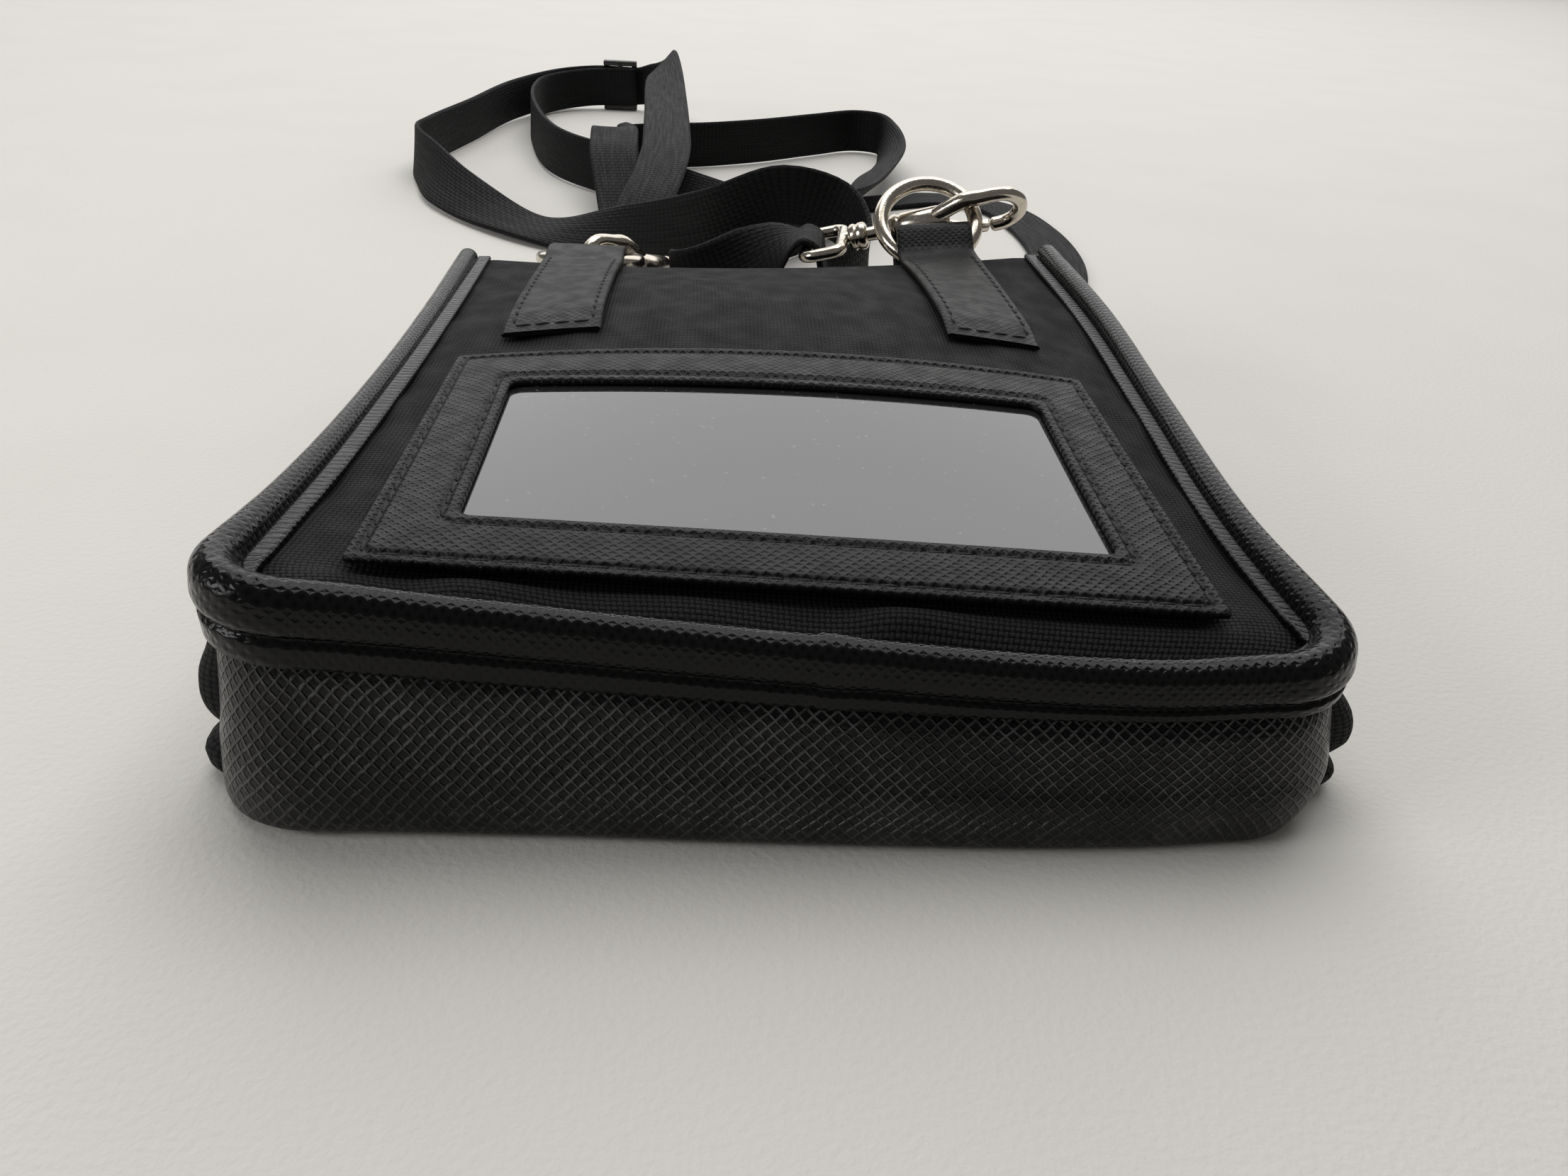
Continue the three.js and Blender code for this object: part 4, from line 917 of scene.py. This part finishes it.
def tabPath(side):  # middle line of the leather: legs as (y, height over the panel), the loop as places
    tab = tabs[side]
    seat = ringSeat(tab["x"])
    pitch = radians(tab["pitch"])
    ahead, up = Vector((0, cos(pitch), sin(pitch))), Vector((0, -sin(pitch), cos(pitch)))
    mid = tabs["wire"] + tabs["clear"] + tabs["wall"] / 2
    outside = pouch["gap"] + tabs["thickness"] / 2
    inside = -pouch["nylon"] - outside
    bends = [(reach, pi / 2) for reach in (0.0, 0.33, 0.66)]
    bends += [(1.0, turn) for turn in spread(pi / 2, -pi / 2, 14)]
    bends += [(reach, -pi / 2) for reach in (0.66, 0.33, 0.0)]
    line = []
    for y in spread(tab["endY"] + tabs["thickness"] / 2, pouch["mouthY"] - 3, 24):
        line.append(("leg", y, outside * tabShare(side, ("leg", y, outside))))
    for reach, turn in bends:
        place = seat + reach * tabs["loop"] * ahead + mid * (cos(turn) * ahead + sin(turn) * up)
        line.append(("loop", place, 0))
    for y in spread(pouch["mouthY"] - 3, tabs["innerEndY"], 10):
        line.append(("leg", y, inside))
    return line


def onTab(side, x, entry):
    tab = tabs[side]
    kind, at, height = entry
    if kind == "loop":
        return Vector((x, at.y, at.z + (x - tab["x"]) * mouthSlope(tab["x"])))
    straight = smoothStep(at, pouch["mouthY"] - 12, pouch["mouthY"] - 2)
    chord = panelTop(tab["x"], at) + (x - tab["x"]) * mouthSlope(tab["x"])
    return Vector((x, at, mix(panelTop(x, at), chord, straight) + height))


def makeTab(side):
    tab = tabs[side]
    path = tabPath(side)
    half, thin = tabs["width"] / 2, tabs["thickness"] / 2
    edge = 0.45
    flat = spread(-half + edge, half - edge, 12)
    section = [(-half, -thin + edge), (-half, thin - edge)] + [(x, thin) for x in flat]
    section += [(-x, -z) for x, z in section] + section[:1]
    middles = [onTab(side, tab["x"], entry) for entry in path]
    rows = []
    for k, entry in enumerate(path):
        heading = (middles[min(k + 1, len(path) - 1)] - middles[max(k - 1, 0)]).normalized()
        lift = Vector((0, -heading.z, heading.y)).normalized()
        share = tabShare(side, entry)
        rows.append([onTab(side, tab["x"] + x, entry) + share * z * lift for x, z in section])
    name = "tab" + side.capitalize()
    finishPiece(name, skin(rows), tabLeather, "tab_" + side, sharp=60)
    bm = bmesh.new()
    legs = [entry for entry in path if entry[0] == "leg" and entry[2] > 0]

    def sewnSpot(x, entry):
        return onTab(side, tab["x"] + x, entry) + thin * tabShare(side, entry) * upright, upright

    for x in (-half + tabs["seam"], half - tabs["seam"]):
        sewRow(bm, [sewnSpot(x, entry) for entry in legs[1:]])
    sewRow(bm, [sewnSpot(x, legs[1]) for x in spread(-half + tabs["seam"], half - tabs["seam"], 8)])
    finishPiece(name + "Thread", bm, thread)


makeTab("left")
makeTab("right")

# rings and snap hooks, the ring's wire at the hook's origin, tip along x and back along z
clasp = {
    "ringRadius": 10.0, "drop": 1.5,
    "left": {"grip": 58.0, "heading": 52.0, "spin": 180.0, "tilt": 5.0, "turn": -7.3},
    "right": {"grip": 15.0, "heading": 0.0, "spin": 0.0, "tilt": -13.0, "turn": -39.5},
}
hook = {
    "wire": 1.5, "rootWire": 1.7, "noseWire": 1.3, "bend": 4.9, "bendX": 5.6, "backX": -1.0, "noseX": 4.2,
    "root": ((-7.5, 1.6), (-5.3, 2.9)),
    "barrel": ((-17.9, 0), (-17.9, 2.2), (-17.6, 2.5), (-17.0, 3.0), (-16.6, 3.15), (-16.0, 3.2),
               (-15.6, 2.9), (-15.2, 2.9), (-14.8, 3.2), (-7.1, 3.2), (-6.2, 3.05), (-5.2, 2.7), (-4.8, 2.3),
               (-4.6, 1.9), (-4.6, 0)),
    "slot": {"size": (4.5, 3.0, 5.2), "place": (-5.85, 0, -2.4)},
    "gate": {"x": -5.8, "z": -1.4, "hub": 1.3, "thickness": 2.4, "knob": 1.4, "knobAt": (-1.4, 0, -4.2),
             "arm": ((-0.9, 0.9), (4.0, -1.6), (9.59, -2.6), (9.3, -3.5), (8.91, -4.4), (4.0, -3.8),
                     (0.2, -1.3)),
             "armEdge": 0.45, "tailEdge": 0.4,
             "tail": ((-1.2, -0.3), (1.0, -0.9), (-0.4, -4.2), (-1.9, -3.6))},
    "eye": {"post": 1.5, "front": -28.0, "rear": -36.0, "half": 9.6, "wire": 1.3, "corner": 2.5,
            "postFront": -14.2},
    "collar": ((-26.5, 1.5), (-26.5, 2.2), (-26.2, 2.6), (-25.8, 2.8), (-25.2, 2.9), (-24.9, 2.65),
               (-24.5, 2.65), (-24.2, 2.9), (-23.1, 2.9), (-22.7, 2.6), (-22.4, 2.2), (-22.4, 1.5)),
}


def ringPlace(side):
    lean = -atan(mouthSlope(tabs[side]["x"]))
    turned = Matrix.Rotation(lean, 4, "Y") @ Matrix.Rotation(radians(tabs[side]["pitch"]), 4, "X")
    centre = ringSeat(tabs[side]["x"]) + turned @ Vector((0, clasp["ringRadius"], 0))
    return Matrix.Translation(centre) @ turned


def hookPlace(side):
    lie = clasp[side]
    grip = radians(lie["grip"])
    reach = clasp["ringRadius"] * Vector((cos(grip), sin(grip), 0))
    held = Matrix.Translation(reach) @ Matrix.Rotation(radians(lie["heading"]), 4, "Z")
    turned = Matrix.Rotation(radians(lie["tilt"]), 4, "Y") @ Matrix.Rotation(radians(lie["spin"]), 4, "Z")
    return ringPlace(side) @ held @ Matrix.Translation((0, 0, -clasp["drop"])) @ turned


def finishMetal(bm, place, *words, sharp=None, body="pouch"):  # words of the piece's name, its place in mm
    inMetres = place.copy()
    inMetres.translation = place.translation * mm
    bmesh.ops.transform(bm, matrix=inMetres, verts=bm.verts[:])
    name = words[0] + "".join(word.capitalize() for word in words[1:])
    finishPiece(name, bm, nickel, "_".join(words), sharp=sharp, body=body)


def makeRing(side):
    bm = bmesh.new()
    start = Matrix.Translation((clasp["ringRadius"] * mm, 0, 0)) @ Matrix.Rotation(pi / 2, 4, "X")
    circle = bmesh.ops.create_circle(bm, cap_ends=False, segments=24, radius=tabs["wire"] * mm, matrix=start)
    spinRound(bm, circle["verts"] + bm.edges[:], upright, 96)
    finishMetal(bm, ringPlace(side), "ring", side)


def clawLine():
    corners = [Vector((x, 0, z)) for x, z in hook["root"]]
    bend, bendX, backX = hook["bend"], hook["bendX"], hook["backX"]
    corners += [Vector((backX, 0, bend)), Vector(((backX + bendX) / 2, 0, bend))]
    corners += [Vector((bendX + bend * cos(a), 0, bend * sin(a))) for a in spread(pi / 2, -pi / 2, 8)]
    corners.append(Vector((hook["noseX"], 0, -bend)))
    points, radii = [], []
    for k in range(len(corners) - 1):
        for j in range(6):
            points.append(throughPoints(corners, k, j / 6)[0])
            radii.append(mix(hook["rootWire"], hook["wire"], smoothStep(k + j / 6, 2, 4)))
    points.append(corners[-1])
    radii.append(hook["noseWire"])
    for share in (0.5, 0.85, 0.99):  # rounded nose
        points.append(corners[-1] + Vector((-0.5 * share, 0, 0)))
        radii.append(hook["noseWire"] * sqrt(1 - share * share))
    return points, radii


def carve(bm, cutter):  # cuts one closed shape out of another
    objects = [addObject("carving", meshFrom("carving", shape)) for shape in (bm, cutter)]
    cut = objects[0].modifiers.new("slot", "BOOLEAN")
    cut.operation = "DIFFERENCE"
    cut.solver = "EXACT"
    cut.object = objects[1]
    ready = objects[0].evaluated_get(bpy.context.evaluated_depsgraph_get())
    carved = bmesh.new()
    carved.from_mesh(ready.data)
    for thing in objects:
        mesh = thing.data
        bpy.data.objects.remove(thing)
        bpy.data.meshes.remove(mesh)
    return carved


def roundedPlate(outline, thickness, edge):  # flat lever cut from an outline of (x, z)
    bm = bmesh.new()
    verts = [bm.verts.new((x * mm, -thickness / 2 * mm, z * mm)) for x, z in outline]
    face = bm.faces.new(verts)
    pulled = bmesh.ops.extrude_face_region(bm, geom=[face])
    moved = [thing for thing in pulled["geom"] if isinstance(thing, bmesh.types.BMVert)]
    bmesh.ops.translate(bm, vec=(0, thickness * mm, 0), verts=moved)
    bmesh.ops.recalc_face_normals(bm, faces=bm.faces[:])
    return roundEdges(bm, edge)


def hookBody():
    bm = carve(spun(hook["barrel"]), boxAt(**hook["slot"]))
    joinInto(bm, skin(tubeRows(*clawLine(), Vector((0, 1, 0)), 20)))
    return bm


def hookGate(lever):
    bm = roundedPlate(lever["arm"], lever["thickness"], lever["armEdge"])
    joinInto(bm, roundedPlate(lever["tail"], lever["thickness"], lever["tailEdge"]))
    hub, knob = bmesh.new(), bmesh.new()
    radius = lever["hub"] * mm
    bmesh.ops.create_cone(hub, cap_ends=True, segments=28, radius1=radius, radius2=radius,
                          depth=lever["thickness"] * mm, matrix=Matrix.Rotation(pi / 2, 4, "X"))
    joinInto(bm, hub)
    bmesh.ops.create_uvsphere(knob, u_segments=24, v_segments=16, radius=lever["knob"] * mm,
                              matrix=Matrix.Translation(Vector(lever["knobAt"]) * mm))
    joinInto(bm, knob)
    return bm


def hookSwivel(eye):
    stem = [(eye["front"], 0), (eye["front"], eye["post"])] + list(hook["collar"])
    bm = spun(stem + [(eye["postFront"], eye["post"]), (eye["postFront"], 0)])
    corner = eye["corner"]
    front, rear, half = eye["front"] - corner, eye["rear"] + corner, eye["half"] - corner
    arcs = roundCorners(rear, front, -half, half, corner, 9)
    line = [Vector((x, y, 0)) for arc in arcs for x, y in arc]
    joinInto(bm, skin(tubeRows(line, [eye["wire"]] * len(line), upright, 18, closed=True)))
    return bm


def makeHook(side):
    place = hookPlace(side)
    finishMetal(hookBody(), place, "hook", "body", side, sharp=40)
    pivot = Matrix.Translation((hook["gate"]["x"], 0, hook["gate"]["z"]))
    finishMetal(hookGate(hook["gate"]), place @ pivot, "hook", "gate", side, sharp=40, body="gate_" + side)
    turned = Matrix.Rotation(radians(clasp[side]["turn"]), 4, "X")
    finishMetal(hookSwivel(hook["eye"]), place @ turned, "hook", "swivel", side, sharp=40)


for side in ("left", "right"):
    makeRing(side)
    makeHook(side)

# pale floor and soft studio light
studio = {
    "floor": {"pale": (0.80, 0.776, 0.732), "dim": (0.785, 0.76, 0.715), "rough": 0.7, "shine": 0.3,
              "tooth": 0.12, "size": 3.0},
    "world": {"tint": (1.0, 0.985, 0.96, 1), "strength": 0.14},
    "back": {"place": (0.1, 1.7, 0.95), "size": (3.0, 1.5), "power": 19.5, "aim": (0, 0, 0.05)},
    "above": {"place": (0.08, 0.56, 1.5), "size": (1.7, 1.0), "power": 15.0, "aim": (0, 0, 0)},
    "left": {"place": (-0.62, -0.22, 0.3), "size": (0.3, 0.26), "power": 1.3, "aim": (-0.05, -0.06, 0.02)},
}


def addLamp(name, lamp):
    light = bpy.data.lights.new(name, "AREA")
    light.shape = "RECTANGLE"
    light.size, light.size_y = lamp["size"]
    light.energy = lamp["power"]
    piece = addObject(name, light)
    toward = Vector(lamp["aim"]) - Vector(lamp["place"])
    aimed = toward.to_track_quat("-Z", "Y").to_matrix().to_4x4()
    piece.matrix_world = Matrix.Translation(lamp["place"]) @ aimed
    piece.visible_camera = False


def makeFloor(look):
    shade = Shading("paleFloor", look["pale"], look["rough"], Specular_IOR_Level=look["shine"])
    place = shade.onObject()
    shade.colour(shade.blend(shade.ease(shade.grain(place, 0.02, 3.0), 0.35, 0.7), look["pale"], look["dim"]))
    shade.emboss(shade.grain(place, 1.1, 4.0), look["tooth"])
    bm = bmesh.new()
    bmesh.ops.create_grid(bm, x_segments=8, y_segments=8, size=look["size"])
    mesh = meshFrom("paleFloor", bm)
    mesh.materials.append(shade.material)
    addObject("paleFloor", mesh)


def makeStudio(values):
    makeFloor(values["floor"])
    world = bpy.data.worlds.new("studio")
    world.use_nodes = True
    sky = world.node_tree.nodes["Background"].inputs
    sky["Color"].default_value = values["world"]["tint"]
    sky["Strength"].default_value = values["world"]["strength"]
    bpy.context.scene.world = world
    for name in ("back", "above", "left"):
        addLamp(name, values[name])
    bpy.context.scene.view_settings.view_transform = "Standard"


makeStudio(studio)
print("studio ready")
